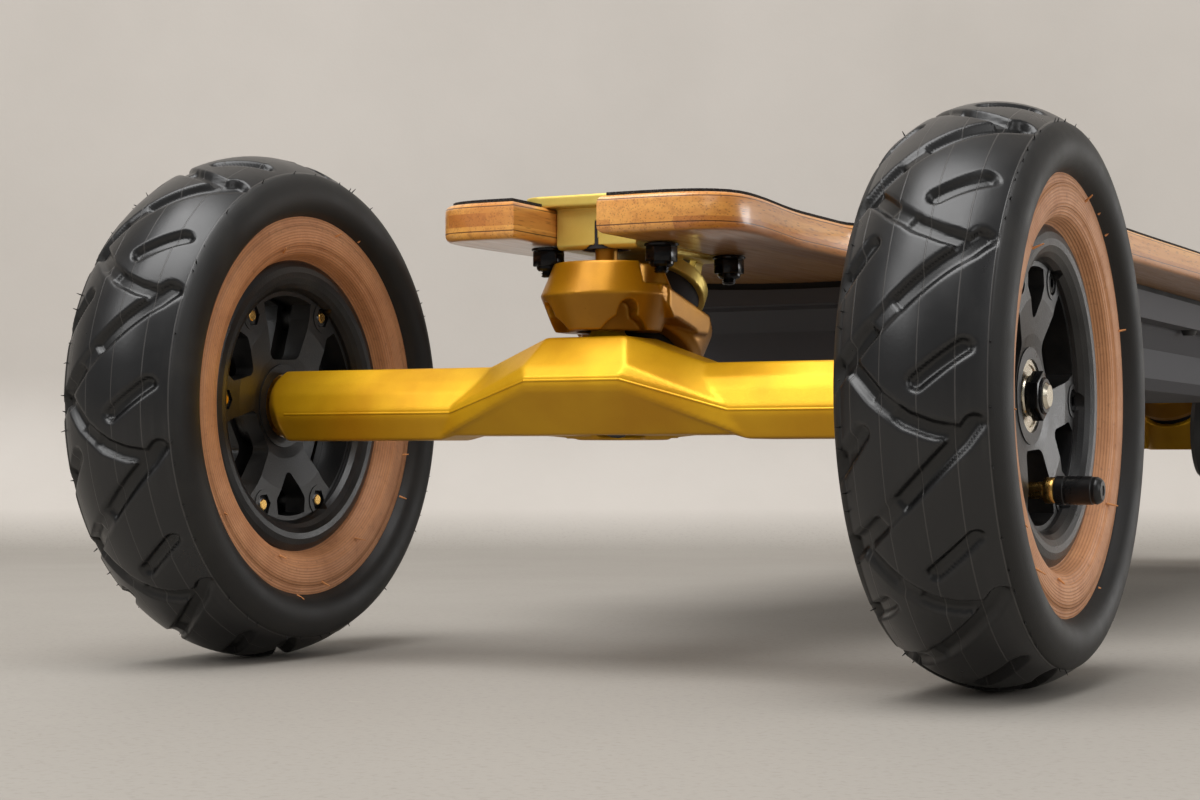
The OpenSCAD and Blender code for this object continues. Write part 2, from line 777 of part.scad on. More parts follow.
// Forged middle, as the hull of the corners where its flat faces meet
module forged_middle() {
    corners = [
        [centre_half, centre_front, centre_ridge - ridge_half], [centre_half, centre_front, centre_ridge + ridge_half],
        [ridge_reach, -arm_half, arm_ridge - ridge_half], [ridge_reach, -arm_half, arm_ridge + ridge_half],
        [centre_half, centre_front + 0.7, panel_top], [ridge_reach + 6, -10.5, arm_bottom],
        [centre_half + 1.5, centre_front + 2.2, centre_ridge + 4.6], [slope_half - 1, -11.2, arm_shoulder],
        [peak_half, -12, peak_z], [slope_half, -9, arm_bevel], [slope_half, -4.5, arm_top],
        [peak_half, 12, peak_z], [slope_half, 9, arm_top], [26, 20, 12], [26, 22, 0],
        [ridge_reach, arm_half, arm_ridge], [ridge_reach, 10.5, arm_bottom], [20, 14, arm_bottom]
    ];
    both = concat(corners, [for (c = corners) [-c[0], c[1], c[2]]]);
    hull() polyhedron(both, [for (i = [1 : len(both) - 2]) [0, i, i + 1]]);
}

// Seat of the lower bushing, and the way in to it
module lower_seat() {
    on_king(-bushing_hi) cylinder(h = 40, d = bushing_d + 1.4);
}

module hanger() {
    color(forged_gold) difference() {
        union() {
            // Arms, drawn in to round bosses at the bearings
            intersection() {
                across_x(-hanger_end, hanger_end) arm_section();
                rotate([0, 90, 0]) union() {
                    cylinder(h = 2 * (hanger_end - 14), r = 20, center = true);
                    for (side = [0, 1]) mirror([0, 0, side])
                        translate([0, 0, hanger_end - 14]) cylinder(h = 14, r1 = 20, r2 = end_boss_d / 2);
                }
            }
            forged_middle();
            // Cup of the lower bushing
            intersection() {
                on_king(-bushing_hi - 45) cylinder(h = 48, d = cup_d);
                translate([-40, -20, arm_bottom]) cube([80, 80, 60]);
            }
        }
        // Room for the drum, which swings above the middle
        translate([0, drum_y, peak_z]) cylinder(h = 30, r = drum_d / 2 + 4);
        // Bushing seat, kingpin hole and the pocket of the nut below
        lower_seat();
        on_king(-bushing_hi - 20) cylinder(h = 40, d = kingpin_d + 3);
        on_king(-bushing_hi - hanger_ring_t - 40) cylinder(h = 40, r = pocket_r);
        // Bare panel that leans back below the front ridge, and the relief under it
        intersection() {
            along_y(centre_front - 9, 0) polygon([
                [-centre_half - 0.5, panel_top], [centre_half + 0.5, panel_top],
                [ridge_reach + 6, arm_bottom - 0.1], [-ridge_reach - 6, arm_bottom - 0.1]
            ]);
            across_x(-60, 60) polygon([
                [centre_front - 1, panel_top], [centre_front + 0.7, panel_top], [-9.8, panel_bottom],
                [-9.8, arm_bottom - 1], [centre_front - 1, arm_bottom - 1]
            ]);
        }
        along_y(-30, 14) polygon([
            [-ridge_reach - 6, arm_bottom - 0.1], [-panel_half, panel_bottom], [panel_half, panel_bottom],
            [ridge_reach + 6, arm_bottom - 0.1]
        ]);
        // Bores that hold the stub axles
        both_sides() translate([hanger_end - axle_depth - 2, 0, 0]) rotate([0, 90, 0])
            cylinder(h = axle_depth + 10, r = axle_d / 2 + slip_gap);
    }
    // Pivot stub
    color(forged_gold) difference() {
        translate([0, drum_y, 0]) {
            translate([0, 0, peak_z - 1]) cylinder(h = 3, d1 = stub_d + 5, d2 = stub_d);
            translate([0, 0, peak_z]) cylinder(h = lower_pivot[2] - peak_z, d = stub_d);
            translate([0, 0, lower_pivot[2]]) sphere(d = stub_d);
        }
        lower_seat();
    }
}

module axles() {
    color(bright_steel) both_sides() translate([hanger_end - axle_depth, 0, 0]) rotate([0, 90, 0]) {
        length = half_track + axle_out - (hanger_end - axle_depth);
        cylinder(h = length - 1, d = axle_d);
        translate([0, 0, length - 1]) cylinder(h = 1, d1 = axle_d, d2 = axle_d - 1.6);
    }
}

module axle_nuts() {
    washer = 0.5;
    face = half_track + bearing_span / 2;
    color(black_steel) both_sides() rotate([0, 90, 0]) difference() {
        union() {
            translate([0, 0, hanger_end + face_gap]) cylinder(h = washer, d = 12);
            translate([0, 0, face + 0.15]) cylinder(h = washer + 0.2, d = 12.4);
            translate([0, 0, face + 0.15 + washer]) cylinder(h = 3.6, d = axle_nut_w / cos(30), $fn = 6);
            translate([0, 0, face + 3.7 + washer]) cylinder(h = 1.4, d = 11);
        }
        translate([0, 0, hanger_end - 1]) cylinder(h = 40, r = axle_d / 2 + slip_gap);
    }
}

// Wheels, each drawn about its own centre with the outboard side on +X

function arc(cx, cy, r, a0, a1, n) = [for (i = [0 : n]) [cx + r * cos(a0 + (a1 - a0) * i / n), cy + r * sin(a0 + (a1 - a0) * i / n)]];

module tyre() {
    top = tyre_d / 2;
    half = tyre_w / 2;
    wall_r = sidewall_d / 2;
    lip_r = rim_d / 2;
    bead_x = half_rim - lip_t - 0.1;
    outer = concat(
        arc(0, top - crown_r, crown_r, 90, 52, 7),
        [[half - 1, top - 11.5], [half, top - 16], [half - 0.8, top - 19.5], [sidewall_x + 1.2, wall_r + 0.6]],
        [[sidewall_x, wall_r], [sidewall_x + 0.3, wall_r - 5], [sidewall_x - 0.4, lip_r + 4], [half_rim, lip_r + 0.8]],
        [[bead_x + 0.4, lip_r + 0.3], [bead_x, lip_r - 0.1], [bead_x, seat_d / 2 + 0.2], [bead_x - 6.5, seat_d / 2 + 0.2]]
    );
    inner = [
        [bead_x - 6.5, seat_d / 2 + 2], [bead_x - 4, lip_r + 1], [sidewall_x - tube_wall, wall_r - 6],
        [half - tube_wall - 0.4, top - 17], [half - tube_wall - 3, top - 11], [10, top - tube_wall - 1.6], [0, top - tube_wall]
    ];
    section = concat(outer, inner);
    last = len(section) - 1;
    far = [for (i = [last - 1 : -1 : 1]) [-section[i][0], section[i][1]]];
    color(black_rubber) turned_x() polygon(concat(section, far));
}

// Replaces each corner of an outline by an arc of radius r
function rounded(points, r) = [
    for (i = [0 : len(points) - 1])
        let (
            n = len(points), here = points[i],
            back = points[(i + n - 1) % n] - here, on = points[(i + 1) % n] - here,
            u = back / norm(back), v = on / norm(on),
            half = acos(min(1, max(-1, u * v))) / 2,
            middle = here + (u + v) / norm(u + v) * r / sin(half),
            from = here + u * r / tan(half) - middle, to = here + v * r / tan(half) - middle,
            a0 = atan2(from[1], from[0]), turn = atan2(to[1], to[0]) - a0,
            sweep = turn > 180 ? turn - 360 : turn < -180 ? turn + 360 : turn
        )
        for (k = [0 : 5]) middle + r * [cos(a0 + sweep * k / 5), sin(a0 + sweep * k / 5)]
];

// Windows of the web: three wide ones between the spokes, and one inside each fork
module hub_windows() {
    edge = seat_d / 2 - barrel_t - 1;
    reach = bolt_circle_d / 2;
    for (a = [30, 150, 270]) rotate(a) intersection() {
        circle(r = edge);
        polygon(rounded([
            [boss_d / 2 + 1.6, -8], [boss_d / 2 + 1.6, 8], [reach - 7, 13.2], [edge + 4, 15.4], [edge + 4, -15.4],
            [reach - 7, -13.2]
        ], window_corner));
    }
    for (a = [90, 210, 330]) rotate(a) intersection() {
        circle(r = edge);
        polygon(rounded([[reach - 15.5, 0], [reach - 5, 8.6], [edge + 4, 7.4], [edge + 4, -7.4], [reach - 5, -8.6]], fork_corner));
    }
}

module hub_bolt_places() {
    for (a = [90, 210, 330], b = [-hub_bolt_angle, hub_bolt_angle])
        rotate([a + b, 0, 0]) translate([0, bolt_circle_d / 2, 0]) rotate([0, 90, 0]) children();
}

// One half of the split hub, on the +X side of the wheel's centre plane
module hub_half(recess_fn) {
    seat_r = seat_d / 2;
    lip_r = rim_d / 2;
    face_x = half_rim - face_round;
    face_r = lip_r - 5.4;
    color(black_plastic) difference() {
        union() {
            turned_x() polygon(concat(
                [[face_gap / 2, seat_r - barrel_t]],
                arc(face_x, face_r, face_round, -90, acos((face_round - lip_t) / face_round), 8),
                [[half_rim - lip_t, seat_r], [face_gap / 2, seat_r]]
            ));
            difference() {
                turned_x() polygon([
                    [web_in, 0], [half_boss - 0.6, 0], [half_boss - 0.6, boss_d / 2 - 1],
                    [web_out - 2, boss_d / 2 + 4], [web_out - 0.4, bolt_circle_d / 2 - 8],
                    [web_out - 0.4, seat_r - 1.2], [web_in, seat_r - 1.2]
                ]);
                across_x(web_in - 1, web_out + 1) hub_windows();
            }
            translate([face_gap / 2, 0, 0]) rotate([0, 90, 0]) cylinder(h = half_boss - face_gap / 2, d = boss_d);
            hub_bolt_places() translate([0, 0, face_gap / 2]) cylinder(h = web_out - face_gap * 3 / 2, r = bolt_recess_d / 2 + 1.4);
        }
        rotate([0, 90, 0]) {
            translate([0, 0, -1]) cylinder(h = 40, d = bearing_d - 4);
            translate([0, 0, bearing_span / 2 - bearing_w]) cylinder(h = 40, d = bearing_d);
        }
        hub_bolt_places() {
            translate([0, 0, -1]) cylinder(h = 30, d = hub_bolt_d + 0.3);
            translate([0, 0, web_out - 2.6]) rotate(recess_fn == 6 ? 30 : 0) cylinder(h = 5, d = bolt_recess_d, $fn = recess_fn);
        }
        rotate([180, 0, 0]) translate([0, 0, 25]) cylinder(h = 30, d = 9);
    }
}

module hub_outer() {
    hub_half(48);
}

module hub_inner() {
    mirror([1, 0, 0]) hub_half(6);
}

module hub_bolts() {
    color(brass) hub_bolt_places() {
        translate([0, 0, -web_out + 0.4]) cylinder(h = 2 * web_out - 2.9, d = hub_bolt_d);
        translate([0, 0, web_out - 2.5]) difference() {
            cylinder(h = 2.2, d = 7);
            translate([0, 0, 0.6]) cylinder(h = 3, d = 3.4, $fn = 6);
        }
        translate([0, 0, -web_out + 0.2]) rotate(30) cylinder(h = 2.3, d = bolt_recess_d - 0.6, $fn = 6);
    }
}

module bearings() {
    half = bearing_span / 2;
    bore = axle_d / 2 + run_gap;
    ring = bearing_d / 2;
    color(bright_steel) {
        both_sides() turned_x() polygon([
            [half - bearing_w, bore], [half, bore], [half, bore + 1.8], [half - 0.5, bore + 2],
            [half - 0.5, ring - 1.8], [half, ring - 1.6], [half, ring - slip_gap], [half - bearing_w, ring - slip_gap]
        ]);
        turned_x() polygon([
            [-half + bearing_w + 0.1, bore], [half - bearing_w - 0.1, bore],
            [half - bearing_w - 0.1, bore + 1.6], [-half + bearing_w + 0.1, bore + 1.6]
        ]);
    }
}

// Brass stem that rises through the barrel and turns outboard, with a black cap
module valve() {
    bend = 4;
    stem = 2.6;
    base_r = seat_d / 2 - 0.6;
    color(brass) {
        translate([0, valve_r + bend, 0]) rotate([-90, 0, 0]) cylinder(h = base_r - valve_r - bend, r = stem);
        translate([0, base_r - 1.4, 0]) rotate([-90, 0, 0]) cylinder(h = 1.4, r = 4.2);
        translate([bend, valve_r + bend, 0]) rotate([0, 0, 180])
            rotate_extrude(angle = 90) translate([bend, 0]) circle(r = stem, $fn = 48);
        translate([bend, valve_r, 0]) rotate([0, 90, 0]) cylinder(h = 9, r = stem);
        translate([bend + 9, valve_r, 0]) rotate([0, 90, 0]) cylinder(h = 3, r = 4);
    }
    color(black_plastic) translate([bend + 12, valve_r, 0]) rotate([0, 90, 0]) {
        cylinder(h = 12.5, r1 = 4.4, r2 = 4.2);
        translate([0, 0, 12.5]) cylinder(h = 1.5, r1 = 4.2, r2 = 3);
    }
}

// Belt drive, drawn for the +X side in the rear truck's own frame

module belt_loop(wheel_r, motor_r) {
    lean = acos((wheel_r - motor_r) / motor_reach);
    line = atan2(motor_z, motor_reach);
    polygon(concat(
        arc(0, 0, wheel_r, line + lean, line + 360 - lean, 56),
        arc(motor_reach, motor_z, motor_r, line - lean, line + lean, 18)
    ));
}

module toothed_disc(teeth, r, depth) {
    step = 360 / teeth;
    polygon([for (i = [0 : teeth - 1], k = [0 : 3])
        let (a = (i + [0.08, 0.46, 0.6, 0.94][k]) * step)
        (k < 2 ? r : r - depth) * [cos(a), sin(a)]]);
}

module belt() {
    low = pulley_in + flange_thin + 0.5;
    color(black_rubber) across_x(low, low + belt_w - 1) difference() {
        belt_loop(wheel_pulley_r + belt_lift + belt_t, motor_pulley_r + belt_lift + belt_t);
        belt_loop(wheel_pulley_r + belt_lift, motor_pulley_r + belt_lift);
    }
}

// The ring is bolted to the hub's inner face through a tube that clears the hanger's end
module wheel_pulley() {
    hub_face = half_track - web_out;
    tube_r = bolt_circle_d / 2 - 3;
    color(black_plastic) difference() {
        union() {
            across_x(pulley_in, pulley_out) toothed_disc(wheel_teeth, wheel_pulley_r, 2);
            rotate([0, 90, 0]) {
                translate([0, 0, pulley_in]) cylinder(h = flange_thin, r = wheel_pulley_r - 1.6);
                translate([0, 0, pulley_out - flange_thin]) cylinder(h = flange_thin, r = wheel_pulley_r + 3);
                translate([0, 0, pulley_out - 4]) cylinder(h = hub_face - pulley_out + 4, r = tube_r);
            }
        }
        rotate([0, 90, 0]) {
            translate([0, 0, pulley_in - 1]) cylinder(h = pulley_out - pulley_in - 3, r = wheel_pulley_r - 5);
            translate([0, 0, pulley_in - 1]) cylinder(h = 60, r = tube_r - 5);
            for (a = [0 : 60 : 300]) rotate([0, 0, a]) translate([(wheel_pulley_r + tube_r) / 2 - 1.5, 0, pulley_in - 1])
                cylinder(h = 60, r = 2.8);
        }
    }
}

module motor_mount() {
    color(black_steel) difference() {
        union() {
            across_x(mount_in, mount_out) difference() {
                union() {
                    circle(r = 24);
                    translate([motor_reach, motor_z]) circle(r = motor_d / 2 + 1);
                    polygon([[4, 23.6], [motor_reach - 8, motor_z + 28], [motor_reach - 8, motor_z - 28], [4, -23.6]]);
                }
                translate([37, 0]) circle(r = 9.5);
                translate([motor_reach, motor_z]) circle(r = 9);
            }
            // Clamp boss along the arm
            across_x(mount_in - 2, mount_in + 1) circle(r = 19);
        }
        across_x(mount_in - 20, mount_out + 1) arm_section(seat_gap / 3);
        for (a = [45, 135, 225, 315])
            translate([mount_in - 1, motor_reach + 15 * cos(a), motor_z + 15 * sin(a)]) rotate([0, 90, 0])
                cylinder(h = mount_t + 2, d = 4.4);
    }
}

module motor() {
    front = mount_in - 0.1;
    r = motor_d / 2;
    color(black_steel) translate([0, motor_reach, motor_z]) difference() {
        turned_x() polygon([
            [front, 0], [front, r - 4], [front - 1.5, r - 1.5], [front - 8, r - 1.5], [front - 8, r - 2.3],
            [front - 10, r - 2.3], [front - 10, r], [front - motor_l + 10, r], [front - motor_l + 10, r - 0.8],
            [front - motor_l + 8, r - 0.8], [front - motor_l + 8, r], [front - motor_l + 3, r],
            [front - motor_l, r - 3], [front - motor_l, 0]
        ]);
        rotate([0, 90, 0]) {
            translate([0, 0, front - 20]) cylinder(h = 30, d = shaft_d + 1);
            for (a = [0 : 60 : 300]) rotate([0, 0, a]) translate([r - 10, 0, front - motor_l - 1])
                cylinder(h = 8, d = 9);
        }
    }
}

module motor_pulley() {
    color(bright_steel) translate([0, motor_reach, motor_z]) {
        difference() {
            across_x(pulley_in, pulley_out) toothed_disc(motor_teeth, motor_pulley_r, 1.9);
            rotate([0, 90, 0]) translate([0, 0, pulley_out - 2]) cylinder(h = 3, d = shaft_d);
        }
        rotate([0, 90, 0]) {
            translate([0, 0, pulley_in - 0.2]) cylinder(h = flange_thin, r = motor_pulley_r + 3);
            translate([0, 0, mount_in - 16]) cylinder(h = pulley_in - mount_in + 16, d = shaft_d);
        }
    }
}

// One piece of a corner wheel, with its spokes turned by an angle
module wheel_part(part, front, left, turn) {
    at_wheel(front, left, turn) {
        if (part == "tyre") tyre();
        if (part == "hub_outer") hub_outer();
        if (part == "hub_inner") hub_inner();
        if (part == "hub_bolts") hub_bolts();
        if (part == "bearings") bearings();
        if (part == "valve") rotate([270, 0, 0]) valve();
    }
}

module truck_part(part, front) {
    at_truck(front) {
        if (part == "baseplate") baseplate();
        if (part == "link") link();
        if (part == "kingpins") kingpins();
        if (part == "bushings") bushings();
        if (part == "hanger") hanger();
        if (part == "axles") axles();
        if (part == "axle_nuts") axle_nuts();
    }
}

module drive_part(part, left) {
    at_truck(false) mirror([left ? 1 : 0, 0, 0]) {
        if (part == "motor") motor();
        if (part == "motor_pulley") motor_pulley();
        if (part == "belt") belt();
        if (part == "wheel_pulley") wheel_pulley();
    }
}

deck();
grip_tape();
case();
case_gasket();
case_screws();
battery_pack();
motor_controller();
power_button();
charge_port();
for (front = [true, false]) at_truck(front) deck_bolts();
for (front = [true, false]) at_truck(front) upper_pivot_cup();  // upper_pivot_cups
at_truck(false) both_sides() motor_mount();  // motor_mounts

for (end = ["front", "rear"]) {
    front = end == "front";
    for (part = ["baseplate", "link", "kingpins", "bushings", "hanger", "axles", "axle_nuts"])
        truck_part(part, front);
    at_truck(front) lower_pivot_cup();
    for (side = ["left", "right"], part = ["tyre", "hub_outer", "hub_inner", "hub_bolts", "bearings", "valve"])
        wheel_part(part, front, side == "left", spoke_turns[(front ? 0 : 2) + (side == "left" ? 0 : 1)]);
}

for (side = ["left", "right"], part = ["motor", "motor_pulley", "belt", "wheel_pulley"])
    drive_part(part, side == "left");
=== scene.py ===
"""Looks of the electric mountainboard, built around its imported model.

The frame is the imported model's own: +Z up, the nose towards -Y, the origin on the ground midway
between the axles. Lengths are in metres, and one that is written with MM starts from millimetres.
Profiles of turned parts, the tyre's sizes and places on a truck stay in millimetres until they
are built.
"""

import logging
import math
import random
from dataclasses import dataclass
from enum import Enum
from typing import Sequence

import bmesh
import bpy
import numpy as np
from mathutils import Matrix, Vector


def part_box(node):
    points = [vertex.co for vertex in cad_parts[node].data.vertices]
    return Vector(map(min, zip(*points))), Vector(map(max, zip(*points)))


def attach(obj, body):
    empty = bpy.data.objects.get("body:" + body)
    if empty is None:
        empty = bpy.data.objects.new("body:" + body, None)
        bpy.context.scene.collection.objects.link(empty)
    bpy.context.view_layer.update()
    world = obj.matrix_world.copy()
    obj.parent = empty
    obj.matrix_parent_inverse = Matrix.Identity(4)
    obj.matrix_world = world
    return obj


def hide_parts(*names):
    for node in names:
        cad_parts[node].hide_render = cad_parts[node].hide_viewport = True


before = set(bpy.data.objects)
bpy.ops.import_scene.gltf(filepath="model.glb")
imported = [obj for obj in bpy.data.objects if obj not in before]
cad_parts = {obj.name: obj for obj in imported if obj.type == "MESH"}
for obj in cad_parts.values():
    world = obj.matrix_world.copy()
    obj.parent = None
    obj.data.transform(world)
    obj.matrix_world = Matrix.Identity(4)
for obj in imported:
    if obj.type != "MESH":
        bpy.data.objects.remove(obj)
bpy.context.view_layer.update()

log = logging.getLogger("mountainboard")
MM = 0.001
TURN = 2 * math.pi

# Half the wheelbase and the height of the axles, in millimetres
HALF_BASE = 416.0
AXLE_HEIGHT = 87.5

Colour = tuple[int, int, int]
Profile = Sequence[tuple[float, float]]
Socket = bpy.types.NodeSocket


def srgb(red: int, green: int, blue: int) -> tuple[float, float, float, float]:
    """Turns a colour as seen on a screen into the linear values that shaders take.

    Args:
        red: Red, from 0 to 255.
        green: Green, from 0 to 255.
        blue: Blue, from 0 to 255.

    Returns:
        Linear red, green, blue and an alpha of 1.
    """

    def linear(value: int) -> float:
        """Turns one channel linear."""
        share = value / 255
        return share / 12.92 if share <= 0.04045 else ((share + 0.055) / 1.055) ** 2.4

    return linear(red), linear(green), linear(blue), 1.0


class Corner(Enum):
    """The four wheels, by the corner of the board that they carry."""

    FRONT_LEFT = "front_left"
    FRONT_RIGHT = "front_right"
    REAR_LEFT = "rear_left"
    REAR_RIGHT = "rear_right"

    @property
    def body(self) -> str:
        """Name of the body that the wheel's pieces ride on."""
        return f"{self.value}_wheel"

    @property
    def outboard(self) -> int:
        """+1 where the wheel's outer face looks along +X, or else -1."""
        return 1 if self.value.endswith("left") else -1

    @property
    def centre(self) -> Vector:
        """Middle of the wheel, from the box of its packed tyre."""
        low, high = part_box(self.value + "_tyre")
        return (low + high) / 2


class End(Enum):
    """The two ends of the board, each with its truck."""

    FRONT = "front"
    REAR = "rear"

    @property
    def inward(self) -> int:
        """+1 where the middle of the board lies along +Y, or else -1."""
        return 1 if self is End.FRONT else -1


class Shader:
    """A material's node tree, with short calls for the nodes that the finishes share."""

    def __init__(self, name: str, **sockets: object) -> None:
        """Starts a material with one Principled shader.

        Args:
            name: Name of the material.
            **sockets: Values of the shader's own sockets, with underscores for spaces.
        """
        self.material = bpy.data.materials.new(name)
        self.material.use_nodes = True
        self.tree = self.material.node_tree
        self.surface = self.tree.nodes["Principled BSDF"]
        for key, value in sockets.items():
            self.surface.inputs[key.replace("_", " ")].default_value = value

    def node(self, kind: str, **settings: object) -> bpy.types.Node:
        """Adds a node.

        Args:
            kind: The node's type name, without its ShaderNode prefix.
            **settings: Properties of the node.

        Returns:
            The new node.
        """
        made = self.tree.nodes.new("ShaderNode" + kind)
        for key, value in settings.items():
            setattr(made, key, value)
        return made

    def feed(self, value: object, socket: Socket) -> None:
        """Links a socket to an input, or sets the input's value.

        Args:
            value: A socket or a plain value.
            socket: The input that takes it.
        """
        if isinstance(value, bpy.types.NodeSocket):
            self.tree.links.new(value, socket)
        else:
            socket.default_value = value

    def place(self, scale: Sequence[float] = (1, 1, 1), attribute: str = "") -> Socket:
        """Gives coordinates to a pattern.

        Args:
            scale: Stretch along X, Y and Z.
            attribute: A vector attribute to read in place of the object's coordinates.

        Returns:
            The coordinate socket.
        """
        if attribute:
            source = self.node("Attribute", attribute_name=attribute).outputs["Vector"]
        else:
            source = self.node("TexCoord").outputs["Object"]
        mapping = self.node("Mapping")
        self.feed(source, mapping.inputs["Vector"])
        mapping.inputs["Scale"].default_value = scale
        return mapping.outputs["Vector"]

    def axis(self, name: str, attribute: str = "") -> Socket:
        """Gives one coordinate as a number.

        Args:
            name: X, Y or Z.
            attribute: A vector attribute to read in place of the object's coordinates.

        Returns:
            The coordinate.
        """
        split = self.node("SeparateXYZ")
        self.feed(self.place(attribute=attribute), split.inputs["Vector"])
        return split.outputs[name]

    def noise(self, vector: Socket, scale: float, detail: float = 3.0, roughness: float = 0.5) -> Socket:
        """Adds a noise pattern.

        Args:
            vector: Where the pattern reads its place.
            scale: Features per metre, roughly.
            detail: Number of finer layers.
            roughness: Weight of the finer layers.

        Returns:
            The noise, from 0 to 1.
        """
        made = self.node("TexNoise")
        self.feed(vector, made.inputs["Vector"])
        made.inputs["Scale"].default_value = scale
        made.inputs["Detail"].default_value = detail
        made.inputs["Roughness"].default_value = roughness
        return made.outputs["Fac"]

    def speckle(self, vector: Socket, scale: float) -> Socket:
        """Adds a pattern of cells.

        Args:
            vector: Where the pattern reads its place.
            scale: Cells per metre.

        Returns:
            The distance to the cell's middle.
        """
        made = self.node("TexVoronoi")
        self.feed(vector, made.inputs["Vector"])
        made.inputs["Scale"].default_value = scale
        return made.outputs["Distance"]

    def maths(self, operation: str, first: object, second: object = 0.0) -> Socket:
        """Adds one sum on numbers.

        Args:
            operation: The sum, by its name in a Math node.
            first: The first number, or a socket.
            second: The second number, or a socket.

        Returns:
            The result.
        """
        made = self.node("Math", operation=operation)
        self.feed(first, made.inputs[0])
        self.feed(second, made.inputs[1])
        return made.outputs[0]

    def ramp(
        self, factor: Socket, low: float, high: float, at_low: float = 0.0, at_high: float = 1.0
    ) -> Socket:
        """Stretches a number from one range to another, and stops it at the ends.

        Args:
            factor: The number.
            low: Where the first range starts.
            high: Where it ends.
            at_low: What the number becomes where the first range starts.
            at_high: What it becomes where that range ends.

        Returns:
            The stretched number.
        """
        made = self.node("MapRange")
        self.feed(factor, made.inputs["Value"])
        ends = {"From Min": low, "From Max": high, "To Min": at_low, "To Max": at_high}
        for key, value in ends.items():
            made.inputs[key].default_value = value
        return made.outputs["Result"]

    def blend(self, factor: Socket, first: object, second: object, mode: str = "MIX") -> Socket:
        """Mixes two colours.

        Args:
            factor: Share of the second colour.
            first: The first colour, or a socket.
            second: The second colour, or a socket.
            mode: How they are mixed.

        Returns:
            The mixed colour.
        """
        made = self.node("Mix", data_type="RGBA", blend_type=mode)
        self.feed(factor, made.inputs["Factor"])
        self.feed(first, made.inputs[6])
        self.feed(second, made.inputs[7])
        return made.outputs[2]

    def band(self, value: Socket, centre: float, half: float) -> Socket:
        """Gives 1 within half a width of a centre and 0 outside, with soft edges."""
        away = self.maths("ABSOLUTE", self.maths("SUBTRACT", value, centre))
        return self.ramp(away, half * 0.7, half * 1.3, 1.0, 0.0)

    def bump(self, height: Socket, depth: float, strength: float = 1.0, under: object = None) -> Socket:
        """Adds relief to the shading.

        Args:
            height: The relief, from 0 to 1.
            depth: Height of the relief in metres.
            strength: How much of it shows.
            under: The normal of a bump below this one.

        Returns:
            The bent normal.
        """
        made = self.node("Bump")
        made.inputs["Strength"].default_value = strength
        made.inputs["Distance"].default_value = depth
        self.feed(height, made.inputs["Height"])
        if under is not None:
            self.feed(under, made.inputs["Normal"])
        return made.outputs["Normal"]

    def set(self, **sockets: object) -> None:
        """Feeds sockets into the shader's inputs, with underscores for spaces."""
        for key, value in sockets.items():
            self.feed(value, self.surface.inputs[key.replace("_", " ")])


def end_in_mix(tree: bpy.types.NodeTree, factor: Socket, first: Socket, second: Socket, output: str) -> None:
    """Ends a node tree in a mix of two shaders.

    Args:
        tree: The tree of a material or of the world.
        factor: Share of the second shader.
        first: The first shader.
        second: The second shader.
        output: Name of the tree's output node.
    """
    mix = tree.nodes.new("ShaderNodeMixShader")
    for socket, source in zip(mix.inputs, (factor, first, second)):
        tree.links.new(source, socket)
    tree.links.new(mix.outputs[0], tree.nodes[output].inputs["Surface"])


@dataclass(frozen=True)
class Finish:
    """A surface finish. Each kind fills in its own shader."""

    name: str

    def shader(self) -> Shader:
        """Builds the finish's node tree."""
        raise NotImplementedError

    def material(self) -> bpy.types.Material:
        """Gives the finish's material, made once."""
        known = bpy.data.materials.get(self.name)
        return known if known else self.shader().material


@dataclass(frozen=True)
class Anodised(Finish):
    """Blasted and anodised aluminium: fine grain under a thin clear colour."""

    light: Colour
    deep: Colour
    roughness: float
    grain: float = 2400.0
    # How far faces that look down are mixed towards the painted shade colour.
    shade: float = 0.6

    def shader(self) -> Shader:
        """Builds the anodised finish, with its grain, cloudy depth and painted shade on faces that look
        down.

        Returns:
            The finish's node tree.
        """
        shader = Shader(self.name, Metallic=0.5, Specular_IOR_Level=0.5)
        place = shader.place()
        cloud = shader.noise(place, scale=38, detail=4)
        grain = shader.noise(place, scale=self.grain, detail=2, roughness=0.6)
        tint = shader.blend(shader.ramp(cloud, 0.35, 0.7), srgb(*self.light), srgb(*self.deep))
        split = shader.node("SeparateXYZ")
        shader.feed(shader.node("TexCoord").outputs["Normal"], split.inputs["Vector"])
        # Painted shade: faces that look down are mixed towards a darker colour, by up to the share in shade,
        # where the light does not reach them.
        under = shader.ramp(split.outputs["Z"], -0.32, 0.02, self.shade, 0.0)
        tint = shader.blend(under, tint, shader.blend(0.45, srgb(*self.deep), srgb(0, 0, 0)))
        soft = shader.bump(cloud, depth=0.0004, strength=0.12)
        shader.set(
            Base_Color=shader.blend(shader.ramp(grain, 0.3, 0.7, 0.0, 0.22), tint, srgb(*self.deep)),
            Roughness=shader.ramp(grain, 0.25, 0.75, self.roughness - 0.06, self.roughness + 0.08),
            Normal=shader.bump(grain, depth=0.00009, strength=0.35, under=soft),
        )
        return shader


@dataclass(frozen=True)
class Metal(Finish):
    """A turned, plated or blackened metal."""

    colour: Colour
    roughness: float
    metallic: float
    worn: Colour
    wear: float

    def shader(self) -> Shader:
        """Builds the metal finish, with its worn patches.

        Returns:
            The finish's node tree.
        """
        shader = Shader(self.name, Metallic=self.metallic)
        place = shader.place()
        smear = shader.noise(place, scale=260, detail=5, roughness=0.6)
        worn = shader.ramp(smear, 0.55, 0.8, 0.0, self.wear)
        shader.set(
            Base_Color=shader.blend(worn, srgb(*self.colour), srgb(*self.worn)),
            Roughness=shader.ramp(smear, 0.3, 0.7, self.roughness - 0.06, self.roughness + 0.1),
            Normal=shader.bump(shader.noise(place, scale=1500, detail=2), depth=0.00004, strength=0.25),
        )
        return shader


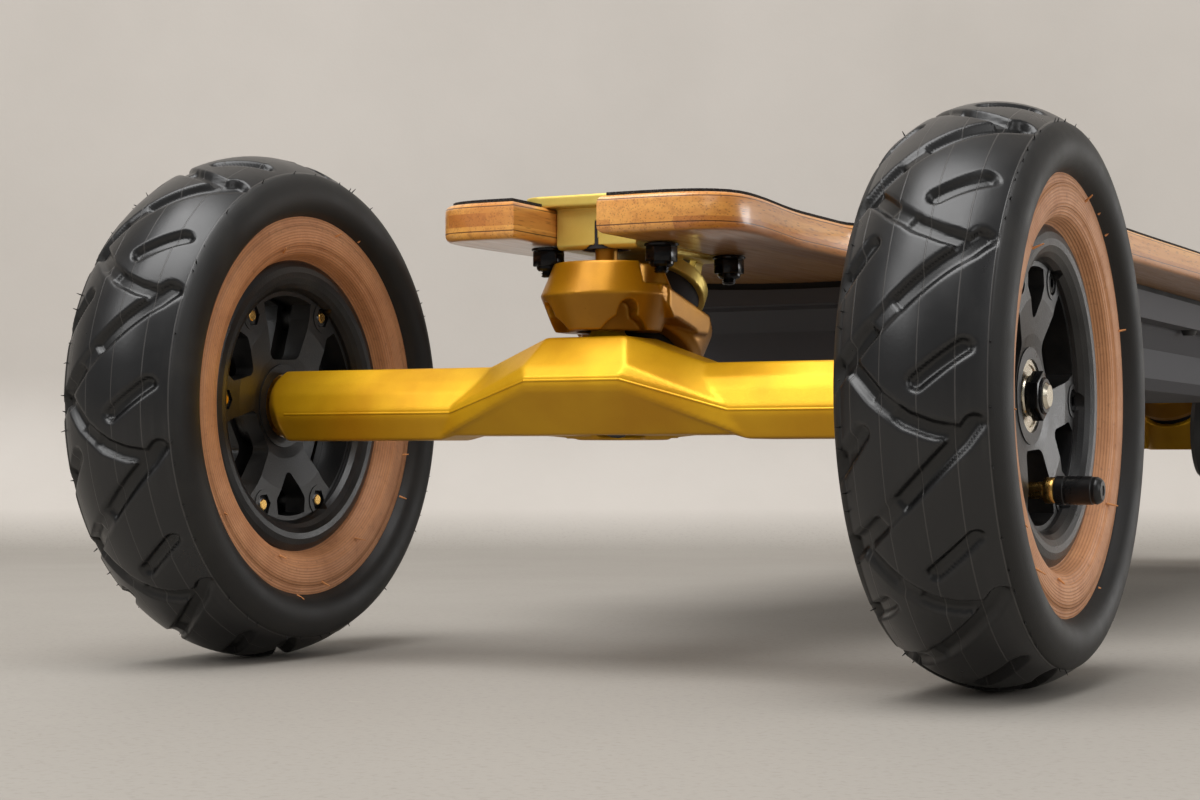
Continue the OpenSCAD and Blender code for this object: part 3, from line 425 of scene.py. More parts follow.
@dataclass(frozen=True)
class Moulded(Finish):
    """Moulded plastic or rubber, with a fine skin and a little handling dust."""

    colour: Colour
    dusty: Colour
    roughness: float
    relief: float = 0.00012
    grain: float = 1700.0
    dust: float = 0.25
    gloss: float = 0.0

    def shader(self) -> Shader:
        """Builds the moulded finish, with its skin and dust.

        Returns:
            The finish's node tree.
        """
        shader = Shader(self.name, Specular_IOR_Level=0.45, Coat_Weight=self.gloss, Coat_Roughness=0.12)
        place = shader.place()
        skin = shader.noise(place, scale=self.grain, detail=2, roughness=0.55)
        cloud = shader.noise(place, scale=55, detail=5, roughness=0.6)
        shader.set(
            Base_Color=shader.blend(
                shader.ramp(cloud, 0.45, 0.85, 0.0, self.dust), srgb(*self.colour), srgb(*self.dusty)
            ),
            Roughness=shader.ramp(cloud, 0.3, 0.75, self.roughness - 0.05, self.roughness + 0.12),
            Normal=shader.bump(skin, depth=self.relief, strength=0.4),
        )
        return shader


@dataclass(frozen=True)
class Tread(Finish):
    """Cured tyre rubber: satin on the tread, with the thin seams that the mould leaves."""

    seams: tuple[float, ...] = (-17.0, -7.4, 3.2, 13.1, 20.6)
    seam_half: float = 0.16

    def shader(self) -> Shader:
        """Builds the tread finish from the tyre's own 'lay' attribute, with painted shade in the grooves.

        Returns:
            The finish's node tree.
        """
        shader = Shader(self.name, Specular_IOR_Level=0.55)
        place = shader.place()
        across = shader.axis("Y", "lay")
        depth = shader.axis("Z", "lay")
        lines = None
        for seam in self.seams:
            line = shader.band(across, seam * MM, self.seam_half * MM)
            lines = line if lines is None else shader.maths("MAXIMUM", lines, line)
        cloud = shader.noise(place, scale=34, detail=6, roughness=0.62)
        streak = shader.noise(shader.place((9, 160, 1), "lay"), scale=3, detail=4, roughness=0.6)
        dust = shader.maths("MULTIPLY", shader.ramp(cloud, 0.45, 0.8), shader.ramp(streak, 0.4, 0.75))
        tint = shader.blend(shader.maths("MULTIPLY", dust, 0.18), srgb(19, 19, 20), srgb(84, 80, 76))
        # Painted shade: the tread is darkened towards near black the deeper a groove is pressed, where shade
        # falls in the grooves.
        tint = shader.blend(shader.ramp(depth, 0.0004, 0.0022, 0.0, 0.8), tint, srgb(7, 7, 7))
        skin = shader.bump(shader.noise(place, scale=900, detail=3), depth=0.00006, strength=0.3)
        shader.set(
            Base_Color=shader.blend(shader.maths("MULTIPLY", lines, 0.2), tint, srgb(112, 108, 104)),
            Roughness=shader.ramp(cloud, 0.3, 0.75, 0.26, 0.4),
            Normal=shader.bump(lines, depth=0.00012, strength=0.7, under=skin),
        )
        return shader


@dataclass(frozen=True)
class SideRing(Finish):
    """The sidewall's natural rubber, with the fine rings that the mould turns into it."""

    colour: Colour
    dusty: Colour
    pitch: float = 0.95 * MM

    def shader(self) -> Shader:
        """Builds the ring from the tyre's own 'lay' attribute.

        Returns:
            The finish's node tree.
        """
        shader = Shader(self.name, Specular_IOR_Level=0.4)
        place = shader.place()
        cloud = shader.noise(place, scale=90, detail=6, roughness=0.66)
        fleck = shader.noise(place, scale=620, detail=3, roughness=0.6)
        turns = shader.maths("MULTIPLY", shader.axis("Y", "lay"), TURN / self.pitch)
        ribs = shader.ramp(shader.maths("SINE", turns), -0.2, 1.0)
        tint = shader.blend(shader.ramp(cloud, 0.35, 0.7, 0.0, 0.8), srgb(*self.colour), srgb(*self.dusty))
        tint = shader.blend(shader.ramp(fleck, 0.58, 0.78, 0.0, 0.45), tint, srgb(94, 62, 42))
        skin = shader.bump(fleck, depth=0.0001, strength=0.35)
        shader.set(
            Base_Color=shader.blend(shader.maths("MULTIPLY", ribs, 0.3), tint, srgb(122, 82, 54)),
            Roughness=shader.ramp(cloud, 0.3, 0.7, 0.45, 0.62),
            Normal=shader.bump(ribs, depth=0.00016, strength=0.6, under=skin),
        )
        return shader


@dataclass(frozen=True)
class Bamboo(Finish):
    """Lacquered bamboo laminate, read from the deck's flat coordinates in 'lay'."""

    thickness: float = 0.012
    top_ply: float = 0.0015
    bottom_ply: float = 0.0025
    bottom_glue: float = 0.00018
    top_glue: float = 0.00016
    strip: float = 0.019
    layer: float = 0.0042

    def shader(self) -> Shader:
        """Builds the laminate: plies, glue lines, strips, fibre ends and painted shade on the underside.

        Returns:
            The finish's node tree.
        """
        shader = Shader(self.name, Coat_Weight=0.6, Coat_Roughness=0.16)
        height = shader.axis("Z", "lay")
        layer = shader.maths("FLOOR", shader.maths("DIVIDE", height, self.layer))
        along = shader.maths("DIVIDE", shader.axis("X", "lay"), self.strip)
        # Each layer's strips are shifted, and each strip of each layer draws its own shade.
        shifted = shader.maths("FLOOR", shader.maths("ADD", along, shader.maths("MULTIPLY", layer, 0.37)))
        cell = shader.maths("ADD", shifted, shader.maths("MULTIPLY", layer, 31.7))
        pick = shader.node("TexWhiteNoise", noise_dimensions="1D")
        shader.feed(cell, pick.inputs["W"])
        fine = shader.noise(shader.place((1, 0.05, 1), "lay"), scale=520, detail=3, roughness=0.65)
        wide = shader.noise(shader.place((1, 0.08, 2.2), "lay"), scale=90, detail=3, roughness=0.5)
        fibre = shader.speckle(shader.place((1, 0.1, 1), "lay"), 1300)
        tint = shader.blend(shader.ramp(wide, 0.3, 0.7), srgb(240, 176, 90), srgb(216, 146, 66))
        tint = shader.blend(shader.ramp(pick.outputs["Value"], 0.0, 1.0, 0.0, 0.8), tint, srgb(176, 102, 42))
        tint = shader.blend(shader.ramp(fine, 0.5, 0.74, 0.0, 0.5), tint, srgb(150, 84, 32))
        tint = shader.blend(shader.ramp(fibre, 0.12, 0.34, 0.5, 0.0), tint, srgb(92, 46, 16))
        # Painted shade: the face that looks down, at the foot of the laminate, is mixed towards a greyer,
        # darker brown.
        under = shader.ramp(height, 0.0001, 0.0008, 1.0, 0.0)
        tint = shader.blend(shader.maths("MULTIPLY", under, 0.6), tint, srgb(112, 92, 72))
        low = shader.band(height, self.bottom_ply, self.bottom_glue)
        high = shader.band(height, self.thickness - self.top_ply, self.top_glue)
        glue = shader.maths("MAXIMUM", low, high)
        shader.set(
            Base_Color=shader.blend(shader.maths("MULTIPLY", glue, 0.85), tint, srgb(52, 26, 12)),
            Roughness=shader.ramp(fine, 0.3, 0.7, 0.28, 0.44),
            Normal=shader.bump(shader.maths("SUBTRACT", fine, glue), depth=0.00012, strength=0.3),
        )
        return shader


@dataclass(frozen=True)
class Grit(Finish):
    """Coarse grip sheet."""

    def shader(self) -> Shader:
        """Builds the grit, worn pale in patches.

        Returns:
            The finish's node tree.
        """
        shader = Shader(self.name, Specular_IOR_Level=0.35)
        place = shader.place()
        grains = shader.speckle(place, 1400)
        patch = shader.noise(place, scale=30, detail=5, roughness=0.6)
        tint = shader.blend(shader.ramp(patch, 0.4, 0.75, 0.0, 0.35), srgb(26, 26, 27), srgb(66, 63, 60))
        shader.set(
            Base_Color=shader.blend(shader.ramp(grains, 0.05, 0.3, 0.5, 0.0), tint, srgb(96, 94, 92)),
            Roughness=shader.ramp(grains, 0.0, 0.5, 0.55, 0.95),
            Normal=shader.bump(grains, depth=0.0005, strength=0.9),
        )
        return shader


@dataclass(frozen=True)
class Concrete(Finish):
    """Ground concrete that runs up into a painted wall."""

    floor: Colour
    wall: Colour

    def shader(self) -> Shader:
        """Builds the studio's ground. It shows only from in front.

        Returns:
            The finish's node tree.
        """
        shader = Shader(self.name, Specular_IOR_Level=0.3)
        place = shader.place()
        cloud = shader.noise(place, scale=2.6, detail=6, roughness=0.62)
        fleck = shader.noise(place, scale=420, detail=3, roughness=0.6)
        scratch = shader.noise(shader.place((1, 7, 1)), scale=16, detail=5, roughness=0.7)
        rise = shader.ramp(shader.axis("Z"), 0.002, 0.03)
        level = shader.maths("SUBTRACT", 1.0, rise)
        tint = shader.blend(rise, srgb(*self.floor), srgb(*self.wall))
        tint = shader.blend(shader.ramp(cloud, 0.35, 0.7, 0.0, 0.16), tint, srgb(120, 114, 104))
        grey = shader.maths("MULTIPLY", shader.ramp(fleck, 0.52, 0.72, 0.0, 0.22), level)
        tint = shader.blend(grey, tint, srgb(92, 86, 78))
        pale = shader.maths("MULTIPLY", shader.ramp(scratch, 0.66, 0.8, 0.0, 0.3), level)
        shader.set(
            Base_Color=shader.blend(pale, tint, srgb(214, 208, 198)),
            Roughness=shader.ramp(cloud, 0.3, 0.7, 0.55, 0.75),
            Normal=shader.bump(fleck, depth=0.0002, strength=0.3),
        )
        back = shader.node("NewGeometry").outputs["Backfacing"]
        clear = shader.node("BsdfTransparent").outputs[0]
        end_in_mix(shader.tree, back, shader.surface.outputs[0], clear, "Material Output")
        return shader


class Paint:
    """The board's finishes, by the maker's words for them."""

    hanger = Anodised("gold_hanger", (244, 190, 30), (212, 152, 10), 0.36)
    link = Anodised("gold_link", (198, 138, 10), (154, 102, 4), 0.33)
    baseplate = Anodised("gold_baseplate", (244, 220, 122), (214, 182, 82), 0.36)
    hub = Moulded("hub_plastic", (18, 18, 19), (72, 68, 64), 0.32, relief=0.00016, dust=0.35)
    case = Moulded("case_plastic", (20, 20, 22), (74, 72, 70), 0.22, gloss=1.0)
    rubber = Moulded("shoulder_rubber", (19, 18, 17), (50, 47, 42), 0.55, 0.0001, grain=2200, dust=0.5)
    tan = SideRing("tan_rubber", (198, 140, 96), (172, 116, 78))
    hair = Moulded("hair_rubber", (206, 140, 84), (176, 112, 72), 0.5)
    urethane = Moulded("urethane", (14, 14, 15), (40, 40, 42), 0.3, 0.00006, grain=900, dust=0.3)
    belt = Moulded("belt_rubber", (20, 20, 21), (50, 49, 48), 0.6)
    gasket = Moulded("gasket_foam", (12, 12, 13), (30, 30, 30), 0.8)
    cap = Moulded("cap_plastic", (18, 18, 19), (60, 58, 56), 0.26, relief=0.00005)
    cells = Moulded("cell_sleeve", (40, 84, 130), (70, 110, 150), 0.3)
    tread = Tread("tread_rubber")
    bamboo = Bamboo("bamboo_laminate")
    grip = Grit("grip_grit")
    black_steel = Metal("black_steel", (26, 26, 28), 0.28, 0.75, (120, 118, 116), 0.25)
    gloss_steel = Metal("gloss_black_steel", (20, 20, 22), 0.17, 0.6, (90, 88, 86), 0.15)
    steel = Metal("bright_steel", (188, 188, 190), 0.26, 1.0, (120, 118, 112), 0.3)
    nickel = Metal("nickel", (214, 206, 188), 0.2, 1.0, (150, 138, 112), 0.3)
    brass = Metal("brass", (212, 170, 96), 0.24, 1.0, (140, 100, 44), 0.35)
    motor = Metal("motor_can", (34, 34, 36), 0.38, 0.6, (110, 108, 106), 0.15)
    plate = Metal("mount_plate", (40, 40, 42), 0.36, 0.7, (120, 118, 116), 0.15)
    alloy = Metal("cast_alloy", (110, 112, 114), 0.5, 1.0, (150, 150, 150), 0.2)
    ground = Concrete("studio_ground", (150, 145, 138), (184, 178, 171))


def place_piece(
    mesh: bpy.types.Mesh,
    name: str,
    body: str,
    finishes: Sequence[Finish],
    stands_for: Sequence[str] = (),
) -> None:
    """Puts a finished mesh into the scene and hangs it on its body.

    Args:
        mesh: The mesh, with its place in its vertices.
        name: Name of the piece.
        body: Body that it moves with.
        finishes: One finish for each of the mesh's material numbers.
        stands_for: Nodes that the piece replaces.
    """
    piece = bpy.data.objects.new(name, mesh)
    bpy.context.scene.collection.objects.link(piece)
    for finish in finishes:
        mesh.materials.append(finish.material())
    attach(piece, body)
    if stands_for:
        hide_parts(*stands_for)
    log.info("piece %s on %s: %d faces", name, body, len(mesh.polygons))


def dress(node: str, finish: Finish) -> None:
    """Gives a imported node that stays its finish."""
    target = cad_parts[node]
    target.data.materials.clear()
    target.data.materials.append(finish.material())
    log.info("node %s in %s", node, finish.name)


def to_mesh(bm: bmesh.types.BMesh, name: str, sharp: float = 35.0) -> bpy.types.Mesh:
    """Turns a bmesh into a smooth mesh with sharp edges, and frees it.

    Args:
        bm: The shape.
        name: Name of the mesh.
        sharp: Angle in degrees above which an edge is sharp.

    Returns:
        The mesh.
    """
    mesh = bpy.data.meshes.new(name)
    bm.to_mesh(mesh)
    bm.free()
    mesh.polygons.foreach_set("use_smooth", [True] * len(mesh.polygons))
    mesh.set_sharp_from_angle(angle=math.radians(sharp))
    return mesh


def keep_lay(mesh: bpy.types.Mesh, flat: np.ndarray) -> None:
    """Keeps each point's flat place in the mesh's 'lay' attribute, where the materials read it."""
    lay = mesh.attributes.new("lay", "FLOAT_VECTOR", "POINT")
    lay.data.foreach_set("vector", flat.ravel())


def verts_of(made: dict) -> list[bmesh.types.BMVert]:
    """Picks the points out of what an operator made."""
    return [item for item in made["geom"] if isinstance(item, bmesh.types.BMVert)]


def edges_of(made: dict) -> list[bmesh.types.BMEdge]:
    """Picks the edges out of what an operator made."""
    return [item for item in made["geom"] if isinstance(item, bmesh.types.BMEdge)]


def weld(bm: bmesh.types.BMesh, gap: float) -> None:
    """Merges the points that lie closer than a gap in millimetres."""
    bmesh.ops.remove_doubles(bm, verts=bm.verts, dist=gap * MM)


def round_edges(bm: bmesh.types.BMesh, edges: Sequence, radius: float, segments: int) -> None:
    """Rounds edges.

    Args:
        bm: The shape.
        edges: The edges.
        radius: Size of the rounding in metres.
        segments: Faces across it.
    """
    bmesh.ops.bevel(
        bm,
        geom=edges,
        offset=radius,
        offset_type="OFFSET",
        segments=segments,
        profile=0.5,
        affect="EDGES",
        clamp_overlap=True,
        material=-1,
    )


def revolve(
    bm: bmesh.types.BMesh,
    geom: Sequence,
    axis: Sequence[float],
    angle: float,
    steps: int,
    climb: float = 0.0,
) -> None:
    """Turns points and edges about an axis through the origin.

    Args:
        bm: The shape.
        geom: The points and edges.
        axis: The axis.
        angle: How far they turn. A whole turn without a climb closes on itself.
        steps: Number of steps.
        climb: Rise along Z in each step.
    """
    bmesh.ops.spin(
        bm,
        geom=geom,
        axis=axis,
        cent=(0, 0, 0),
        dvec=(0, 0, climb),
        angle=angle,
        steps=steps,
        use_merge=angle == TURN and climb == 0.0,
        use_duplicate=False,
    )


def facing(place: Sequence[float], along: Sequence[float]) -> Matrix:
    """Gives the placement of a solid whose +Z looks along a direction."""
    return Matrix.Translation(place) @ Vector(along).to_track_quat("Z", "Y").to_matrix().to_4x4()


def cast_copy(node: str, voxel: float, passes: int) -> bpy.types.Mesh:
    """Copies a node as a forging or casting, with every edge and corner run soft.

    Args:
        node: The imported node.
        voxel: Size of the cells that the shell is rebuilt from.
        passes: Rounds of smoothing.

    Returns:
        The softened mesh.
    """
    bm = bmesh.new()
    bm.from_mesh(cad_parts[node].data)
    weld(bm, 0.003)
    source = to_mesh(bm, node + "_source")
    rough = bpy.data.objects.new(node + "_rough", source)
    bpy.context.scene.collection.objects.link(rough)
    remesh = rough.modifiers.new("shell", "REMESH")
    remesh.mode = "VOXEL"
    remesh.voxel_size = voxel
    remesh.use_smooth_shade = True
    smooth = rough.modifiers.new("soften", "SMOOTH")
    smooth.factor = 0.6
    smooth.iterations = passes
    bpy.context.view_layer.update()
    graph = bpy.context.evaluated_depsgraph_get()
    mesh = bpy.data.meshes.new_from_object(rough.evaluated_get(graph))
    bpy.data.objects.remove(rough)
    bpy.data.meshes.remove(source)
    mesh.polygons.foreach_set("use_smooth", [True] * len(mesh.polygons))
    return mesh


class Solids:
    """Turned, drilled and hexagonal solids in millimetres, gathered in one mesh."""

    def __init__(self) -> None:
        """Starts with nothing."""
        self.whole = bmesh.new()

    def take(self, bm: bmesh.types.BMesh, place: Matrix, finish: int = 0) -> None:
        """Adds a solid and frees it.

        Args:
            bm: The solid, about its own origin.
            place: Where it goes.
            finish: Number of its finish.
        """
        weld(bm, 0.001)
        bmesh.ops.recalc_face_normals(bm, faces=bm.faces)
        bmesh.ops.transform(bm, matrix=place, verts=bm.verts)
        for face in bm.faces:
            face.material_index = finish
        mesh = bpy.data.meshes.new("solid")
        bm.to_mesh(mesh)
        bm.free()
        self.whole.from_mesh(mesh)
        bpy.data.meshes.remove(mesh)

    @staticmethod
    def line(bm: bmesh.types.BMesh, profile: Profile) -> list:
        """Draws a profile of (radius, height), and gives its points and edges."""
        verts = [bm.verts.new((radius * MM, 0.0, height * MM)) for radius, height in profile]
        return verts + [bm.edges.new(pair) for pair in zip(verts, verts[1:])]

    def lathe(self, profile: Profile, place: Matrix, finish: int = 0, steps: int = 40) -> None:
        """Turns a profile about Z.

        Args:
            profile: Points of (radius, height).
            place: Where the solid stands.
            finish: Number of its finish.
            steps: Faces round it.
        """
        bm = bmesh.new()
        revolve(bm, self.line(bm, profile), (0, 0, 1), TURN, steps)
        self.take(bm, place, finish)

    def cone(
        self, foot: float, tip: float, height: float, place: Matrix, finish: int = 0, steps: int = 10
    ) -> None:
        """Adds a cone.

        Args:
            foot: Radius where it stands.
            tip: Radius at its top.
            height: Its height.
            place: Where it stands.
            finish: Number of its finish.
            steps: Faces round it.
        """
        bm = bmesh.new()
        bmesh.ops.create_cone(
            bm, cap_ends=True, segments=steps, radius1=foot * MM, radius2=tip * MM, depth=height * MM
        )
        bmesh.ops.translate(bm, verts=bm.verts, vec=(0, 0, height / 2 * MM))
        self.take(bm, place, finish)

    def hexagon(self, flats: float, low: float, high: float, place: Matrix) -> None:
        """Adds a hexagonal nut with its corners broken.

        Args:
            flats: Width across its flats.
            low: Height of its foot.
            high: Height of its top.
            place: Where it stands.
        """
        bm = bmesh.new()
        broken = 0.35
        radius = flats / 2 / math.cos(math.pi / 6) * MM
        bmesh.ops.create_cone(
            bm, cap_ends=True, segments=6, radius1=radius, radius2=radius, depth=(high - low) * MM
        )
        bmesh.ops.translate(bm, verts=bm.verts, vec=(0, 0, (low + high) / 2 * MM))
        round_edges(bm, bm.edges[:], broken * MM, segments=2)
        self.take(bm, place)

    def thread(self, radius: float, low: float, high: float, place: Matrix, pitch: float = 0.8) -> None:
        """Adds the threaded end of a stud.

        Args:
            radius: Radius over the thread.
            low: Height where it starts.
            high: Height of the stud's tip.
            place: Where it stands.
            pitch: Rise of one turn.
        """
        margin = 0.4
        depth = 0.55 * pitch
        turns = max(1, int((high - low - margin) / pitch))
        root = radius - depth
        flank = [(root, 0.0), (radius, 0.4 * pitch), (radius, 0.55 * pitch)]
        flank += [(root, 0.95 * pitch), (root, pitch)]
        bm = bmesh.new()
        steps = 20 * turns
        climb = pitch * turns * MM / steps
        revolve(bm, self.line(bm, flank), (0, 0, 1), TURN * turns, steps, climb)
        first = low - pitch / 2 + (high - low - pitch * turns) / 2
        bmesh.ops.translate(bm, verts=bm.verts, vec=(0, 0, first * MM))
        self.take(bm, place)
        broken = 0.35
        core = root + 0.05
        stud = [(0, low), (core - broken, low), (core, low + broken)]
        stud += [(core, high - broken), (core - broken, high), (0, high)]
        self.lathe(stud, place, steps=24)

    def socket_head(self, radius: float, height: float, key: float, deep: float, place: Matrix) -> None:
        """Adds a round head with a hexagonal key hole, its top at the place.

        Args:
            radius: Radius of the head.
            height: Height of the head.
            key: Width across the flats of the key hole.
            deep: Depth of the key hole.
            place: Where the top goes.
        """
        bm = bmesh.new()
        steps = 24
        broken = 0.4
        rim, hole = [], []
        for k in range(steps):
            turn = TURN * k / steps
            out = Vector((math.cos(turn), math.sin(turn), 0))
            flat = key / 2 / math.cos((turn + math.pi / 6) % (math.pi / 3) - math.pi / 6)
            rim.append(bm.verts.new(out * (radius - broken) * MM))
            hole.append(bm.verts.new(out * flat * MM))
        loops = [[bm.edges.new((ring[k], ring[k - 1])) for k in range(steps)] for ring in (rim, hole)]
        bmesh.ops.bridge_loops(bm, edges=loops[0] + loops[1])
        walls = (((broken, -broken), (0.0, broken - height)), ((0.0, -deep),))
        for loop, shifts in zip(loops, walls):
            for grow, drop in shifts:
                made = bmesh.ops.extrude_edge_only(bm, edges=loop)
                loop = [edge for edge in edges_of(made) if edge.is_boundary]
                for vert in verts_of(made):
                    out = Vector((vert.co.x, vert.co.y, 0)).normalized()
                    vert.co += (out * grow + Vector((0, 0, drop))) * MM
            bmesh.ops.holes_fill(bm, edges=loop, sides=0)
        self.take(bm, place)

    def mesh(self, name: str) -> bpy.types.Mesh:
        """Hands the gathered solids over as one mesh."""
        return to_mesh(self.whole, name)


def ease(share: float | np.ndarray) -> float | np.ndarray:
    """Bends a share from 0 to 1 so that it starts and ends level."""
    return share * share * (3 - 2 * share)


@dataclass(frozen=True)
class Groove:
    """One moulded groove, as a centre line of (degrees round the tyre, millimetres across).

    Its floor gives, for shares of that line, the share of the depth that is reached there.
    """

    path: tuple[tuple[float, float], ...]
    half_width: float
    depth: float
    floor: tuple[tuple[float, float], ...] = ((0.0, 1.0), (1.0, 1.0))


@dataclass(frozen=True)
class Hair:
    """A kind of moulding hair: its radii, least and greatest length, and faces round it."""

    foot: float
    tip: float
    lengths: tuple[float, float]
    sides: int


@dataclass
class Tyre:
    """An air tyre in millimetres: grooved tread, matte shoulders, tan ring and bead.

    Bead, ring, shoulder, lining and hair roots are points of (distance from the middle plane,
    radius). The lining counts as lying far across, past every place on the outside.
    """

    radius: float = AXLE_HEIGHT
    crown: float = 34.0
    tread_half: float = 20.9
    bead: Profile = ((13.4, 43.4), (13.5, 47.5), (13.6, 50.2), (16.2, 51.9), (18.6, 52.6), (19.4, 53.4))
    ring: Profile = (
        *((20.0, 54.9), (20.05, 55.3), (20.5, 55.5), (20.65, 57.5), (20.75, 60.5)),
        *((20.6, 62.6), (20.2, 62.8), (20.15, 63.2), (20.05, 65.0)),
    )
    shoulder: Profile = (
        *((19.9, 65.6), (20.7, 66.1), (22.4, 66.7), (23.6, 68.0), (24.5, 69.8)),
        *((24.9, 71.6), (24.95, 73.2), (24.8, 74.6), (24.45, 75.8), (24.0, 76.9)),
        *((23.5, 77.9), (22.9, 78.7), (22.2, 79.5), (21.6, 80.0), (21.2, 80.25)),
    )
    lining: Profile = ((14.0, 79.0), (19.0, 70.0), (13.5, 54.0), (9.0, 43.6))
    lining_reach: float = 99.0
    tan_from: float = 50.0
    tan_to: float = 65.7
    repeats: int = 10
    columns: int = 72
    tread_rows: int = 66
    # The grooves keep their depth over the land past the tread's edge, and lose it over the run-out.
    land: float = 0.5
    run_out: float = 4.6
    # A groove's sloping wall is twice this wide.
    wall: float = 0.9
    hairs: int = 26
    side_hair: Hair = Hair(0.42, 0.2, (2.2, 4.0), 6)
    side_roots: Profile = ((20.3, 54.6), (20.5, 61.8), (20.6, 66.0))
    side_sunk: float = 0.15
    tread_hair: Hair = Hair(0.28, 0.1, (0.8, 2.3), 5)
    tread_root: tuple[float, float] = (21.0, 80.0)
    grooves: tuple[Groove, ...] = (
        Groove(
            ((29.6, 17.6), (26.4, 14.2), (9.7, -12.0), (0.5, -25.6)),
            2.5,
            2.6,
            ((0.0, 1.0), (0.49, 1.0), (0.51, 0.45), (0.63, 0.45), (0.65, 1.0), (1.0, 1.0)),
        ),
        Groove(
            ((5.4, -18.6), (3.2, -15.3), (-1.8, -7.9), (-5.4, 0.0), (-7.2, 6.9), (-8.2, 13.4)),
            2.3,
            2.2,
            ((0.0, 1.0), (0.36, 1.0), (0.38, 0.6), (0.55, 0.6), (0.57, 1.0), (1.0, 1.0)),
        ),
        Groove(((1.1, 3.0), (7.6, 15.2)), 2.2, 2.3),
        Groove(((27.9, -13.6), (18.0, -25.6)), 2.2, 2.3),
    )

    def section(self) -> tuple[list[tuple[float, float]], list[float]]:
        """Works out the tyre's section, round from the outer bead to the inside.

        Returns:
            Points of (offset along X, radius) in metres, and how far across each lies in
            millimetres, measured over the surface beyond the tread's edge.
        """
        side = [*self.bead, *self.ring, *self.shoulder]
        span = [float(x) for x in np.linspace(self.tread_half, -self.tread_half, self.tread_rows)]
        tread = [(x, self.radius - self.crown + math.sqrt(self.crown**2 - x * x)) for x in span]
        inwards = side[::-1]
        across = [span[0]]
        for (x0, r0), (x1, r1) in zip([tread[0], *inwards], inwards):
            across.append(across[-1] + math.hypot(x1 - x0, r1 - r0))
        wall = across[:0:-1]
        inside = [(-x, r) for x, r in reversed(self.lining)] + list(self.lining)
        points = side + tread + [(-x, r) for x, r in inwards] + inside
        reach = wall + span + [-s for s in reversed(wall)] + [self.lining_reach] * len(inside)
        return [(x * MM, r * MM) for x, r in points], reach

    def depth_at(self, degrees: float, across: np.ndarray) -> np.ndarray:
        """Works out how deep the tread is moulded along one line across it.

        Args:
            degrees: Angle of the line round the tyre.
            across: Places across it.

        Returns:
            Depth at each place.
        """
        pitch = 360.0 / self.repeats
        per_degree = math.radians(self.radius)
        deepest = np.zeros_like(across)
        for groove in self.grooves:
            points = np.array(groove.path) * (per_degree, 1.0)
            steps = np.diff(points, axis=0)
            lengths = np.hypot(*steps.T)
            reach = np.concatenate([[0.0], np.cumsum(lengths)]) / lengths.sum()
            for shift in range(-2, 3):
                along = (degrees + shift * pitch) * per_degree
                nearest = np.full_like(across, np.inf)
                share = np.zeros_like(across)
                for k, (start, step) in enumerate(zip(points, steps)):
                    ahead, beside = along - start[0], across - start[1]
                    t = np.clip((ahead * step[0] + beside * step[1]) / (step @ step), 0, 1)
                    away = np.hypot(ahead - t * step[0], beside - t * step[1])
                    closer = away < nearest
                    nearest = np.where(closer, away, nearest)
                    share = np.where(closer, reach[k] + t * (reach[k + 1] - reach[k]), share)
                floor = np.interp(share, *np.array(groove.floor).T)
                edge = np.clip((groove.half_width - nearest) / (2 * self.wall) + 0.5, 0, 1)
                deepest = np.maximum(deepest, groove.depth * floor * ease(edge))
        over = np.clip((np.abs(across) - self.tread_half - self.land) / self.run_out, 0, 1)
        return deepest * (1 - ease(over))

    def normals(self, section: list[tuple[float, float]]) -> list[tuple[float, float]]:
        """Works out which way is out at each point of the section.

        Args:
            section: The section's points, in order.

        Returns:
            A direction of (along X, along the radius) for each point.
        """
        count = len(section)
        found = []
        for i in range(count):
            (x0, r0), (x1, r1) = section[i - 1], section[(i + 1) % count]
            length = math.hypot(x1 - x0, r1 - r0)
            found.append(((r0 - r1) / length, (x1 - x0) / length))
        # The point a third of the way round lies on the tread, where out is up.
        sign = 1 if found[count // 3][1] > 0 else -1
        return [(x * sign, r * sign) for x, r in found]

    def finish_of(self, face: bmesh.types.BMFace, reached: float) -> int:
        """Picks a face's finish.

        Args:
            face: The face.
            reached: How far across its outermost point lies, in metres.

        Returns:
            0 for the tread, 1 for the matte shoulders, bead and lining, or 2 for the tan ring.
        """
        middle = face.calc_center_median()
        radius = math.hypot(middle.y, middle.z) / MM
        reached /= MM
        slack = 0.2
        if reached < self.tread_half + slack:
            return 0
        outside = reached < self.lining_reach - slack
        return 2 if outside and self.tan_from < radius < self.tan_to else 1

    def sector(self) -> bmesh.types.BMesh:
        """Turns the section through one repeat of the tread and presses the grooves into it.

        Returns:
            The sector, with each point's flat place in its 'across' and 'depth' layers.
        """
        section, reach = self.section()
        bm = bmesh.new()
        number = bm.verts.layers.int.new("number")
        across = bm.verts.layers.float.new("across")
        depth = bm.verts.layers.float.new("depth")
        ring = [bm.verts.new((x, -r, 0.0)) for x, r in section]
        for i, vert in enumerate(ring):
            vert[number] = i
            vert[across] = reach[i] * MM
        edges = [bm.edges.new((ring[i], ring[i - 1])) for i in range(len(ring))]
        revolve(bm, ring + edges, (1, 0, 0), TURN / self.repeats, self.columns)
        normals = self.normals(section)
        per_column = 360 / self.columns / self.repeats
        places = np.array(reach)
        lines: dict[int, np.ndarray] = {}
        for vert in bm.verts:
            line = round(math.degrees(math.atan2(vert.co.z, -vert.co.y)) / per_column)
            if line not in lines:
                lines[line] = self.depth_at(line * per_column, places)
            sunk = float(lines[line][vert[number]]) * MM
            if sunk:
                sideways, outwards = normals[vert[number]]
                spoke = Vector((0, vert.co.y, vert.co.z)).normalized()
                vert.co -= (Vector((sideways, 0, 0)) + spoke * outwards) * sunk
            vert[depth] = sunk
        for face in bm.faces:
            face.material_index = self.finish_of(face, max(abs(vert[across]) for vert in face.verts))
        return bm

